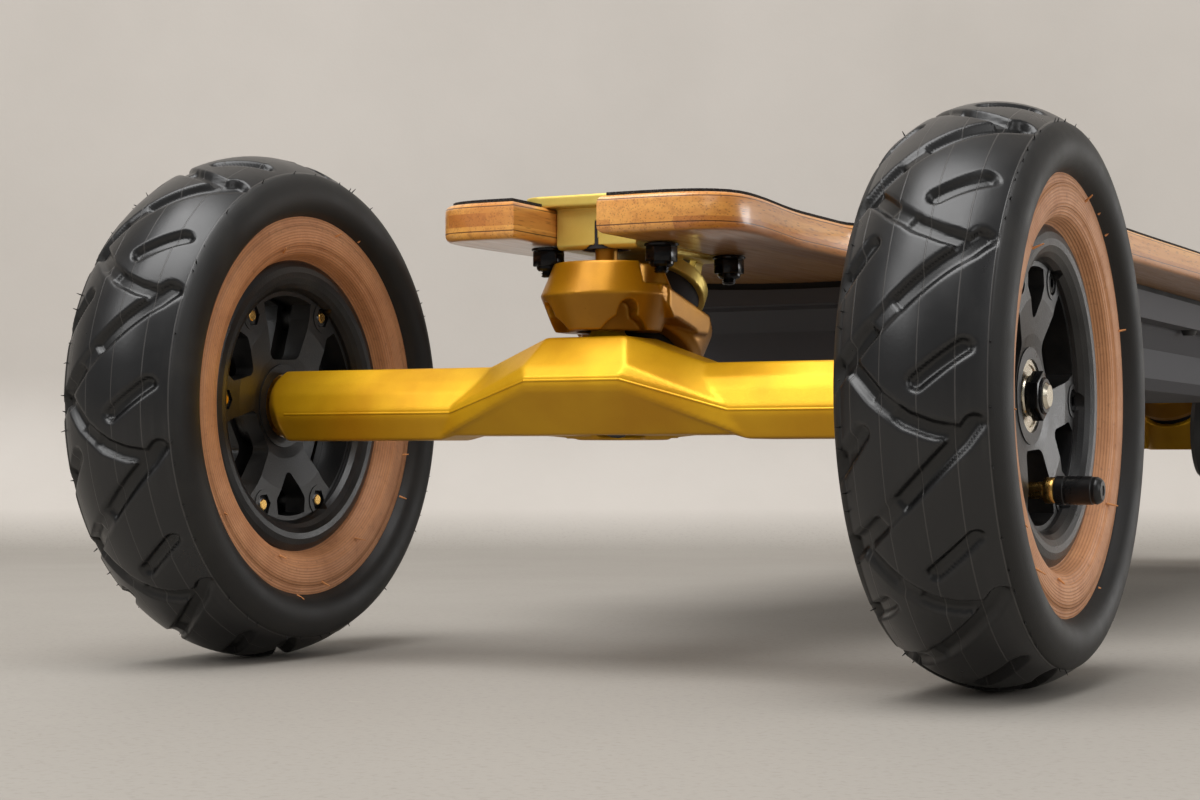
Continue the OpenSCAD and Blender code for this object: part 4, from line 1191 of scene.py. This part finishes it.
    def build(self) -> bpy.types.Mesh:
        """Repeats the sector round the whole tyre.

        Returns:
            The tyre's mesh about its own centre, with each point's flat place in 'lay'.
        """
        bm = self.sector()
        first = bm.verts[:] + bm.edges[:] + bm.faces[:]
        for k in range(1, self.repeats):
            verts = verts_of(bmesh.ops.duplicate(bm, geom=first))
            turned = Matrix.Rotation(TURN * k / self.repeats, 3, "X")
            bmesh.ops.rotate(bm, verts=verts, cent=(0, 0, 0), matrix=turned)
        weld(bm, 0.002)
        bmesh.ops.recalc_face_normals(bm, faces=bm.faces)
        mesh = to_mesh(bm, "tyre_skin", sharp=70)
        count = len(mesh.vertices)
        co = np.empty(count * 3)
        mesh.vertices.foreach_get("co", co)
        co = co.reshape(-1, 3)
        flat = np.empty((count, 3))
        flat[:, 0] = np.arctan2(co[:, 2], -co[:, 1]) * self.radius * MM
        for column, name in ((1, "across"), (2, "depth")):
            values = np.empty(count)
            mesh.attributes[name].data.foreach_get("value", values)
            flat[:, column] = values
        keep_lay(mesh, flat)
        for name in ("across", "depth", "number"):
            mesh.attributes.remove(mesh.attributes[name])
        return mesh

    def moulding_hairs(self, seed: int) -> bpy.types.Mesh:
        """Makes the thin rubber hairs that the mould's vents leave on sidewalls and tread.

        Args:
            seed: Seed of their places.

        Returns:
            The hairs about the tyre's own centre.
        """
        chance = random.Random(seed)
        solids = Solids()
        hair = self.side_hair
        for k in range(self.hairs):
            turn = TURN * (k + chance.uniform(-0.3, 0.3)) / self.hairs
            side = chance.choice((1, -1))
            x, r = chance.choice(self.side_roots)
            length = chance.uniform(*hair.lengths)
            lean = Vector((side * 0.75, chance.uniform(-0.5, 0.5), chance.uniform(0.2, 0.9))).normalized()
            root = facing((side * (x - self.side_sunk) * MM, 0, r * MM), lean)
            place = Matrix.Rotation(turn, 4, "X") @ root
            solids.cone(hair.foot, hair.tip, length, place, finish=0, steps=hair.sides)
        hair = self.tread_hair
        count = self.hairs * 3
        x, r = self.tread_root
        for k in range(count):
            turn = TURN * (k + chance.uniform(-0.4, 0.4)) / count
            side = chance.choice((1, -1))
            lean = Vector((side * chance.uniform(0.2, 0.8), chance.uniform(-0.6, 0.6), 1)).normalized()
            length = chance.uniform(*hair.lengths)
            place = Matrix.Rotation(turn, 4, "X") @ facing((side * x * MM, 0, r * MM), lean)
            solids.cone(hair.foot, hair.tip, length, place, finish=1, steps=hair.sides)
        return solids.mesh("tyre_hairs")

    def dress(self, corner: Corner, skin: bpy.types.Mesh, phase: float) -> None:
        """Hangs a copy of the tyre on one wheel, with hairs of its own.

        Args:
            corner: The wheel.
            skin: The tyre's mesh about its own centre.
            phase: Degrees by which the tread is turned.
        """
        name = corner.value + "_tyre"
        place = Matrix.Translation(corner.centre) @ Matrix.Rotation(-math.radians(phase), 4, "X")
        mesh = skin.copy()
        mesh.transform(place)
        finishes = (Paint.tread, Paint.rubber, Paint.tan)
        place_piece(mesh, name + "_moulded", corner.body, finishes, (name,))
        hairs = self.moulding_hairs(len(name) + int(phase) + corner.outboard)
        hairs.transform(place)
        place_piece(hairs, name + "_hairs", corner.body, (Paint.hair, Paint.rubber))


@dataclass
class Deck:
    """The bamboo laminate: slotted prongs, waists, concave and rounded edges.

    Lengths along the board run from an axle towards the middle.
    """

    half_base: float = HALF_BASE * MM
    overhang: float = 33 * MM
    nose: float = 53.5 * MM
    nose_length: float = 34 * MM
    nose_power: float = 2.6
    waist: float = 49 * MM
    waist_from: float = 58 * MM
    waist_to: float = 92 * MM
    shoulder: float = 117 * MM
    shoulder_at: float = 200 * MM
    half_width: float = 120 * MM
    thickness: float = 12 * MM
    concave: float = 830 * MM
    underside: float = 138.5 * MM
    slot_half: float = 14.7 * MM
    slot_end: float = 64.4 * MM
    slot_round: float = 2 * MM
    edge_round: float = 2.2 * MM
    cut_across: float = 8.6 * MM
    cut_along: float = 44 * MM

    def nose_half(self, y: float) -> float:
        """Half width of the rounded nose at a distance behind the axle."""
        share = min(1.0, max(0.0, (y + self.overhang) / self.nose_length))
        return self.nose * (1 - (1 - share) ** self.nose_power) ** (1 / self.nose_power)

    def half(self, y: float) -> float:
        """Half width of the outline at a distance behind the axle."""

        def swell(first: float, last: float, start: float, end: float) -> float:
            """Runs from one half width to another between two distances."""
            return first + (last - first) * ease((y - start) / (end - start))

        if y < 0:
            return self.nose_half(y)
        if y < self.waist_from:
            return swell(self.nose_half(0), self.waist, 0, self.waist_from)
        if y < self.waist_to:
            return self.waist
        if y < self.shoulder_at:
            return swell(self.waist, self.shoulder, self.waist_to, self.shoulder_at)
        return swell(self.shoulder, self.half_width, self.shoulder_at, self.half_base)

    def outline(self) -> list[tuple[float, float]]:
        """Works out the outline with both slots.

        Returns:
            Points of (x, y), in order round the board.
        """
        # Steps along the board, closer together where the outline bends more
        steps = [-self.overhang + self.nose_length * (i / 16) ** 2 for i in range(17)]
        steps += [y * MM for y in (*range(6, 58, 6), 58, 70, 82)]
        steps += [self.waist_to + (self.shoulder_at - self.waist_to) * i / 24 for i in range(25)]
        steps += [y * MM for y in (235, 280, 340, HALF_BASE)]
        side = [(self.half(y), y - self.half_base) for y in steps]
        side = [(x, y) for x, y in side if x > self.slot_half + self.slot_round]
        tip = -self.half_base - self.overhang
        root = -self.half_base + self.slot_end
        slot = [(0.0, root), (self.slot_half - self.slot_round, root)]
        slot += [(self.slot_half, root - self.slot_round), (self.slot_half, tip)]
        quarter = slot + side
        right = quarter + [(x, -y) for x, y in reversed(quarter[:-1])]
        left = [(-x, y) for x, y in reversed(right[1:-1])]
        return right + left

    def sag(self, x: float) -> float:
        """Rise of the concave at a distance from the middle line."""
        return self.concave - math.sqrt(self.concave**2 - x * x)

    def laminate(self) -> bpy.types.Mesh:
        """Makes the plate that follows the concave.

        Returns:
            The bent plate, with its flat place kept in 'lay'.
        """
        bm = bmesh.new()
        base = bm.faces.new([bm.verts.new((x, y, 0.0)) for x, y in self.outline()])
        bmesh.ops.recalc_face_normals(bm, faces=[base])
        raised = bmesh.ops.extrude_face_region(bm, geom=[base], use_keep_orig=True)
        bmesh.ops.translate(bm, verts=verts_of(raised), vec=(0, 0, self.thickness))
        bmesh.ops.recalc_face_normals(bm, faces=bm.faces)
        rims = [
            edge
            for edge in bm.edges
            if abs(edge.verts[0].co.z - edge.verts[1].co.z) < 1e-6 and edge.calc_face_angle(0.0) > 1.0
        ]
        round_edges(bm, rims, self.edge_round, segments=4)
        cuts = [((k * self.cut_across, 0, 0), (1, 0, 0)) for k in range(-14, 15)]
        cuts += [((0, k * self.cut_along, 0), (0, 1, 0)) for k in range(-10, 11)]
        for place, normal in cuts:
            whole = bm.verts[:] + bm.edges[:] + bm.faces[:]
            bmesh.ops.bisect_plane(bm, geom=whole, plane_co=place, plane_no=normal)
        bmesh.ops.triangulate(bm, faces=[face for face in bm.faces if len(face.verts) > 4])
        flat = np.array([tuple(vert.co) for vert in bm.verts])
        for vert in bm.verts:
            vert.co.z += self.underside + self.sag(vert.co.x)
        mesh = to_mesh(bm, "deck_laminate", sharp=50)
        keep_lay(mesh, flat)
        return mesh

    def build(self) -> None:
        """Makes the deck."""
        place_piece(self.laminate(), "deck_laminate", "board", (Paint.bamboo,), ("deck",))


@dataclass
class TruckPart:
    """What is built once for each truck, from sizes in the truck's own frame of millimetres.

    That frame has its origin in the middle of the axle and +Y towards the middle of the board.
    """

    end: End

    def spot(self, x: float, y: float, z: float) -> Vector:
        """Gives the place on the board of a place on the truck."""
        turn = self.end.inward
        return Vector((x * turn, (y - HALF_BASE) * turn, z + AXLE_HEIGHT)) * MM

    def at(self, x: float, y: float, z: float, along: Sequence[float]) -> Matrix:
        """Gives a placement at a place on the truck, with +Z along a direction of the truck."""
        turn = self.end.inward
        return facing(self.spot(x, y, z), (along[0] * turn, along[1] * turn, along[2]))


@dataclass
class Truck(TruckPart):
    """One truck's forgings: baseplate, link and hanger."""

    hanger_cell: float = 0.78 * MM
    fine_cell: float = 0.48 * MM
    bead_radius: float = 0.5
    bead: tuple[tuple[float, float, float], ...] = ((116, -12.8, -3.4), (50, -12.8, -3.4), (17, -22.3, 6.3))

    def parting(self) -> None:
        """Lays the bead that the forging dies leave along the hanger."""
        name = f"{self.end.value}_hanger_parting"
        solids = Solids()
        path = [(-x, y, z) for x, y, z in self.bead] + list(reversed(self.bead))
        spots = [self.spot(*point) for point in path]
        for start, stop in zip(spots, spots[1:]):
            along = stop - start
            solids.cone(self.bead_radius, self.bead_radius, along.length / MM, facing(start, along))
        place_piece(solids.mesh(name), name, f"{self.end.value}_hanger", (Paint.hanger,), ())

    def build(self) -> None:
        """Dresses the forgings."""
        end = self.end.value
        for node, body, finish, slot, cell, passes in (
            ("hanger", f"{end}_hanger", Paint.hanger, "hanger_gold", self.hanger_cell, 2),
            ("link", f"{end}_link", Paint.link, "link_gold", self.fine_cell, 3),
            ("baseplate", "board", Paint.baseplate, "baseplate_gold", self.fine_cell, 2),
        ):
            name = f"{end}_{node}"
            place_piece(cast_copy(name, cell, passes), name + "_forged", body, (finish,), (name,))
        self.parting()


@dataclass
class Studs(TruckPart):
    """The two kingpins of a truck, with washers, lock nuts and threaded tips.

    The washer, the nut and the tip are measured from where the washer rests.
    """

    foot: tuple[float, float, float] = (0.0, 32.0, 24.5)
    tilt: float = 36.0
    radius: float = 4.7
    shank_foot: float = 0.1
    shank_short: float = 1.0
    bushing_top: float = 17.0
    upper_ring: float = 5.0
    lower_ring: float = 9.0
    small_bushing: float = 5.6
    washer: Profile = ((4.8, 0), (7.7, 0), (7.95, 0.3), (7.95, 1.1), (7.7, 1.38), (4.8, 1.38))
    flats: float = 12.6
    nut_foot: float = 1.4
    nut_top: float = 7.0
    nylon: Profile = ((4.5, 6.9), (5.9, 6.9), (5.8, 7.9), (5.2, 8.4), (4.5, 8.4))
    thread_foot: float = 7.6
    tip: float = 10.4
    thread_pitch: float = 1.0

    def kingpin(self, solids: Solids, side: int) -> None:
        """Adds one stud with its nut.

        Args:
            solids: Where it is gathered.
            side: +1 for the upper stud, or -1 for the lower one.
        """
        tilt = math.radians(self.tilt)
        place = self.at(*self.foot, (0, math.sin(tilt) * side, math.cos(tilt) * side))
        ring = self.upper_ring if side > 0 else self.lower_ring
        rest = self.bushing_top + ring + self.small_bushing
        low, high = self.shank_foot, rest - self.shank_short
        solids.lathe([(0, low), (self.radius, low), (self.radius, high), (0, high)], place)
        end = place @ Matrix.Translation((0, 0, rest * MM))
        solids.lathe(self.washer, end)
        solids.hexagon(self.flats, self.nut_foot, self.nut_top, end)
        solids.lathe(self.nylon, end)
        solids.thread(self.radius, self.thread_foot, self.tip, end, self.thread_pitch)

    def build(self) -> None:
        """Makes both studs of the truck."""
        end = self.end.value
        solids = Solids()
        for side in (1, -1):
            self.kingpin(solids, side)
        name = end + "_studs"
        place_piece(solids.mesh(name), name, end + "_link", (Paint.black_steel,), (end + "_kingpins",))


@dataclass
class AxleEnds(TruckPart):
    """Speed rings, washers and flange nuts at both ends of an axle, measured from its middle."""

    speed_ring: Profile = (
        *((4.05, 124.5), (5.8, 124.5), (6.0, 124.6)),
        *((6.0, 124.9), (5.8, 125.0), (4.05, 125.0)),
    )
    washer: Profile = (
        *((4.05, 142.45), (6.0, 142.45), (6.2, 142.6)),
        *((6.2, 143.0), (6.0, 143.15), (4.05, 143.15)),
    )
    flats: float = 13.0
    nut_foot: float = 143.1
    nut_top: float = 146.5
    collar: Profile = ((4.05, 146.3), (5.5, 146.3), (5.5, 146.8), (5.1, 147.35), (4.05, 147.35))

    def build(self) -> None:
        """Makes both ends of the axle."""
        end = self.end.value
        solids = Solids()
        for side in (1, -1):
            place = facing(self.spot(0, 0, 0), (side, 0, 0))
            for profile in (self.speed_ring, self.washer, self.collar):
                solids.lathe(profile, place)
            solids.hexagon(self.flats, self.nut_foot, self.nut_top, place)
        name = end + "_flange_nuts"
        place_piece(solids.mesh(name), name, end + "_hanger", (Paint.gloss_steel,), (end + "_axle_nuts",))


@dataclass
class DeckBolts:
    """The eight bolts that hold the trucks on the deck.

    Nut, collars and tail are measured down from where the nut rests.
    """

    across: float = 20.65
    along: tuple[float, ...] = (1.5, 55.5)
    head_top: float = 66.7
    head_radius: float = 4.95
    head_height: float = 2.3
    key: float = 3.2
    key_depth: float = 1.7
    nut_rest: float = 50.9
    flange: Profile = ((2.4, 0), (5.3, 0), (5.7, 0.35), (5.6, 0.9), (4.4, 1.45), (2.4, 1.45))
    flats: float = 9.1
    nut_foot: float = 1.1
    nut_top: float = 6.1
    nylon: Profile = ((2.5, 5.9), (4.0, 5.9), (3.95, 6.9), (3.3, 7.6), (2.5, 7.6))
    thread_radius: float = 2.45
    thread_foot: float = 7.3
    tail: float = 9.7

    def bolt(self, solids: Solids, truck: TruckPart, x: float, y: float) -> None:
        """Adds one bolt: key head, flange nut with nylon collar, and threaded tail.

        Args:
            solids: Where it is gathered.
            truck: The truck that it holds.
            x: Its place across the truck.
            y: Its place along the truck.
        """
        head = truck.at(x, y, self.head_top, (0, 0, 1))
        solids.socket_head(self.head_radius, self.head_height, self.key, self.key_depth, head)
        nut = truck.at(x, y, self.nut_rest, (0, 0, -1))
        solids.lathe(self.flange, nut)
        solids.hexagon(self.flats, self.nut_foot, self.nut_top, nut)
        solids.lathe(self.nylon, nut)
        solids.thread(self.thread_radius, self.thread_foot, self.tail, nut)

    def build(self) -> None:
        """Makes all the bolts, which ride on the board."""
        solids = Solids()
        for end in End:
            for x in (-self.across, self.across):
                for y in self.along:
                    self.bolt(solids, TruckPart(end), x, y)
        name = "deck_bolts"
        place_piece(solids.mesh(name), name + "_cut", "board", (Paint.gloss_steel,), (name,))


@dataclass
class WheelHardware:
    """One wheel's hub bolts and its valve, in millimetres.

    Angles are in degrees round the hub, which is itself turned on the axle.
    """

    corner: Corner
    turn: float
    spokes: tuple[int, ...] = (90, 210, 330)
    spread: float = 26.0
    bolt_circle: float = 37.5
    head_top: float = 11.2
    head_radius: float = 3.45
    head_height: float = 2.1
    key: float = 3.0
    key_depth: float = 1.5
    shank: Profile = ((0, -9.2), (1.95, -9.2), (1.95, 9.2), (0, 9.2))
    flats: float = 6.7
    nut_foot: float = 9.0
    nut_top: float = 11.0
    bolt_tip: Profile = ((0, 10.9), (1.9, 10.9), (1.9, 11.05), (1.6, 11.28), (0, 11.28))
    valve_at: float = 270.0
    valve_circle: float = 28.0
    elbow: Profile = ((0, 2.5), (2.5, 2.5), (2.55, 14.4), (0, 14.4))
    grommet: Profile = ((2.5, 13.1), (4.0, 13.1), (4.15, 13.4), (4.15, 14.2), (2.5, 14.38))
    stem: Profile = ((0, -2.4), (1.6, -2.1), (2.5, -1.0), (2.55, 3.0), (2.5, 12.9), (0, 12.9))
    stem_collar: Profile = ((2.4, 12.4), (3.7, 12.6), (3.95, 13.0), (3.95, 15.4), (3.6, 15.9), (2.4, 16.0))
    cap: Profile = (
        *((2.4, 16.0), (4.1, 16.05), (4.35, 16.4), (4.3, 18.6), (4.15, 18.8), (4.15, 19.3)),
        *((4.3, 19.5), (4.2, 26.9), (4.0, 27.1), (4.0, 27.6), (4.1, 27.8), (4.05, 28.4)),
        *((3.6, 29.3), (2.9, 29.9), (1.6, 29.95), (1.4, 29.6), (0, 29.6)),
    )

    def spoke(self, degrees: float) -> Vector:
        """Gives the direction out from the axle at an angle on the hub."""
        angle = math.radians(self.turn + degrees)
        return Vector((0, math.cos(angle), math.sin(angle)))

    def bolts(self) -> None:
        """Makes the hub bolts: key head outboard, nut and brass-coloured tip inboard."""
        side = self.corner.outboard
        solids = Solids()
        for spoke in self.spokes:
            for spread in (-self.spread, self.spread):
                spot = self.corner.centre + self.spoke(spoke + spread) * self.bolt_circle * MM
                head = facing(spot + Vector((side * self.head_top * MM, 0, 0)), (side, 0, 0))
                solids.socket_head(self.head_radius, self.head_height, self.key, self.key_depth, head)
                back = facing(spot, (-side, 0, 0))
                solids.lathe(self.shank, back, steps=20)
                solids.hexagon(self.flats, self.nut_foot, self.nut_top, back)
                solids.lathe(self.bolt_tip, back, finish=1, steps=20)
        name = self.corner.value + "_hub_bolts"
        finishes = (Paint.gloss_steel, Paint.brass)
        place_piece(solids.mesh(name), name + "_cut", self.corner.body, finishes, (name,))

    def valve(self) -> None:
        """Makes the valve: a brass elbow out of the hub, and a stem with a ribbed cap."""
        radial = self.spoke(self.valve_at)
        spot = self.corner.centre + radial * self.valve_circle * MM
        outward = facing(spot, radial)
        along = facing(spot, (self.corner.outboard, 0, 0))
        solids = Solids()
        for profile, place in (
            (self.elbow, outward),
            (self.grommet, outward),
            (self.stem, along),
            (self.stem_collar, along),
        ):
            solids.lathe(profile, place)
        solids.lathe(self.cap, along, finish=1)
        name = self.corner.value + "_valve"
        place_piece(solids.mesh(name), name + "_turned", self.corner.body, (Paint.brass, Paint.cap), (name,))

    def build(self) -> None:
        """Makes the wheel's bolts and valve."""
        self.bolts()
        self.valve()


@dataclass(frozen=True)
class Lamp:
    """A soft box: where it hangs, what it faces, its width and height, and its power."""

    name: str
    place: tuple[float, float, float]
    target: tuple[float, float, float]
    size: tuple[float, float]
    watts: float

    def hang(self) -> None:
        """Hangs the lamp in the scene."""
        data = bpy.data.lights.new(self.name, "AREA")
        data.shape = "RECTANGLE"
        data.size, data.size_y = self.size
        data.energy = self.watts
        lamp = bpy.data.objects.new(self.name, data)
        bpy.context.scene.collection.objects.link(lamp)
        lamp.location = self.place
        aim = Vector(self.target) - Vector(self.place)
        lamp.rotation_euler = aim.to_track_quat("-Z", "Y").to_euler()


@dataclass
class Studio:
    """Ground, wall, light and camera. The camera's place and angle are those of the photograph."""

    focal_pixels: float = 2274.08
    picture_width: int = 1200
    camera_place: tuple[float, float, float] = (0.33458, -1.07528, 0.06857)
    azimuth: float = math.radians(26.966)
    pitch: float = math.radians(1.5065)
    behind: float = 5.0
    half_width: float = 6.0
    wall_away: float = 1.86
    wall_bend: float = 0.14
    wall_height: float = 4.0
    bend_steps: int = 16
    far_corners: Profile = ((-8.0, -9.0), (8.0, -9.0), (8.0, 14.0), (-8.0, 14.0))
    far_drop: float = 0.002
    sky: Colour = (240, 239, 238)
    sky_strength: float = 0.85
    mirrored_strength: float = 0.3
    lamps: tuple[Lamp, ...] = (
        Lamp("key", (-1.1, -2.4, 1.7), (0.0, -0.35, 0.1), (1.3, 1.0), 16),
        Lamp("top", (0.0, -1.1, 2.3), (0.0, -0.3, 0.1), (2.0, 1.8), 62),
        Lamp("side", (2.1, -0.9, 0.9), (0.1, -0.3, 0.1), (0.8, 1.4), 6),
        Lamp("low", (1.3, 0.9, 0.28), (0.1, -0.1, 0.1), (0.9, 0.3), 5),
    )

    def right(self) -> Vector:
        """Gives the direction of the picture's right side."""
        return Vector((math.cos(self.azimuth), math.sin(self.azimuth), 0))

    def ahead(self, pitch: float = 0.0) -> Vector:
        """Gives the direction of sight at a pitch above the level."""
        level = Vector((-math.sin(self.azimuth), math.cos(self.azimuth), 0))
        return level * math.cos(pitch) + Vector((0, 0, math.sin(pitch)))

    def ground(self) -> None:
        """Makes the pale ground that runs up into a wall square to the camera.

        A second plane just below it carries the ground on behind the wall.
        """
        bm = bmesh.new()
        ahead = self.ahead()
        right = self.right()
        base = Vector((*self.camera_place[:2], 0))
        start = base - ahead * self.behind
        reach = right * self.half_width
        edge = bm.edges.new([bm.verts.new(start + reach), bm.verts.new(start - reach)])
        steps = [ahead * (self.behind + self.wall_away - self.wall_bend)]
        turns = [TURN / 4 * k / self.bend_steps for k in range(self.bend_steps + 1)]
        for low, high in zip(turns, turns[1:]):
            forth = self.wall_bend * (math.sin(high) - math.sin(low))
            rise = self.wall_bend * (math.cos(low) - math.cos(high))
            steps.append(ahead * forth + Vector((0, 0, rise)))
        steps.append(Vector((0, 0, self.wall_height)))
        for step in steps:
            made = bmesh.ops.extrude_edge_only(bm, edges=[edge])
            edge = edges_of(made)[0]
            bmesh.ops.translate(bm, verts=verts_of(made), vec=step)
        bmesh.ops.recalc_face_normals(bm, faces=bm.faces)
        if max(bm.faces, key=lambda face: abs(face.normal.z) * face.calc_area()).normal.z < 0:
            bmesh.ops.reverse_faces(bm, faces=bm.faces)
        below = base - Vector((0, 0, self.far_drop))
        far = bm.faces.new([bm.verts.new(below + right * x + ahead * y) for x, y in self.far_corners])
        far.normal_update()
        if far.normal.z < 0:
            far.normal_flip()
        sweep = bpy.data.objects.new("studio_ground", to_mesh(bm, "studio_ground", sharp=80))
        bpy.context.scene.collection.objects.link(sweep)
        sweep.data.materials.append(Paint.ground.material())

    def lights(self) -> None:
        """Hangs the lamps and sets the world, which is dimmer where the board mirrors it."""
        world = bpy.data.worlds.new("studio")
        bpy.context.scene.world = world
        world.use_nodes = True
        tree = world.node_tree
        sky = tree.nodes["Background"]
        mirrored = tree.nodes.new("ShaderNodeBackground")
        for shade, strength in ((sky, self.sky_strength), (mirrored, self.mirrored_strength)):
            shade.inputs["Color"].default_value = srgb(*self.sky)
            shade.inputs["Strength"].default_value = strength
        glossy = tree.nodes.new("ShaderNodeLightPath").outputs["Is Glossy Ray"]
        end_in_mix(tree, glossy, sky.outputs[0], mirrored.outputs[0], "World Output")
        for lamp in self.lamps:
            lamp.hang()

    def camera(self) -> None:
        """Puts the camera at the photograph's place and angle."""
        ahead = self.ahead(self.pitch)
        right = self.right()
        data = bpy.data.cameras.new("camera")
        data.sensor_width = 36.0
        data.sensor_fit = "HORIZONTAL"
        data.lens = self.focal_pixels * data.sensor_width / self.picture_width
        data.clip_start = 0.01
        camera = bpy.data.objects.new("camera", data)
        bpy.context.scene.collection.objects.link(camera)
        turn = Matrix((right, right.cross(ahead), -ahead)).transposed().to_4x4()
        camera.matrix_world = Matrix.Translation(self.camera_place) @ turn
        bpy.context.scene.camera = camera

    def build(self) -> None:
        """Builds the whole studio."""
        bpy.context.scene.view_settings.view_transform = "Standard"
        self.ground()
        self.lights()
        self.camera()


def plain_finishes() -> dict[str, Finish]:
    """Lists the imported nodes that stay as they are.

    Returns:
        Each node's name with its finish.
    """
    plain: dict[str, Finish] = {
        "grip_tape": Paint.grip,
        "case": Paint.case,
        "case_gasket": Paint.gasket,
        "case_screws": Paint.black_steel,
        "battery_pack": Paint.cells,
        "motor_controller": Paint.alloy,
        "power_button": Paint.steel,
        "charge_port": Paint.case,
        "upper_pivot_cups": Paint.urethane,
        "motor_mounts": Paint.plate,
    }
    groups = (
        (End, {"bushings": Paint.urethane, "lower_cup": Paint.urethane, "axles": Paint.nickel}),
        (Corner, {"hub_outer": Paint.hub, "hub_inner": Paint.hub, "bearings": Paint.nickel}),
    )
    for owners, parts in groups:
        for owner in owners:
            for part, finish in parts.items():
                plain[f"{owner.value}_{part}"] = finish
    drive = {"motor": Paint.motor, "motor_pulley": Paint.steel}
    drive |= {"belt": Paint.belt, "wheel_pulley": Paint.hub}
    for side in ("left", "right"):
        for part, finish in drive.items():
            plain[f"{side}_{part}"] = finish
    return plain


def main() -> None:
    """Builds the studio and dresses the board."""
    logging.basicConfig(level=logging.INFO, format="%(relativeCreated)6.0f ms  %(message)s")
    Studio().build()
    Deck().build()
    for end in End:
        Truck(end).build()
        Studs(end).build()
        AxleEnds(end).build()
    DeckBolts().build()
    tyre = Tyre()
    skin = tyre.build()
    stance = {
        Corner.FRONT_LEFT: (0.0, 3),
        Corner.FRONT_RIGHT: (-4.0, 302),
        Corner.REAR_LEFT: (11.0, 40),
        Corner.REAR_RIGHT: (23.0, 75),
    }
    for corner, (tread_turn, hub_turn) in stance.items():
        tyre.dress(corner, skin, tread_turn)
        WheelHardware(corner, hub_turn).build()
    bpy.data.meshes.remove(skin)
    for node, finish in plain_finishes().items():
        dress(node, finish)


if __name__ == "__main__":
    main()
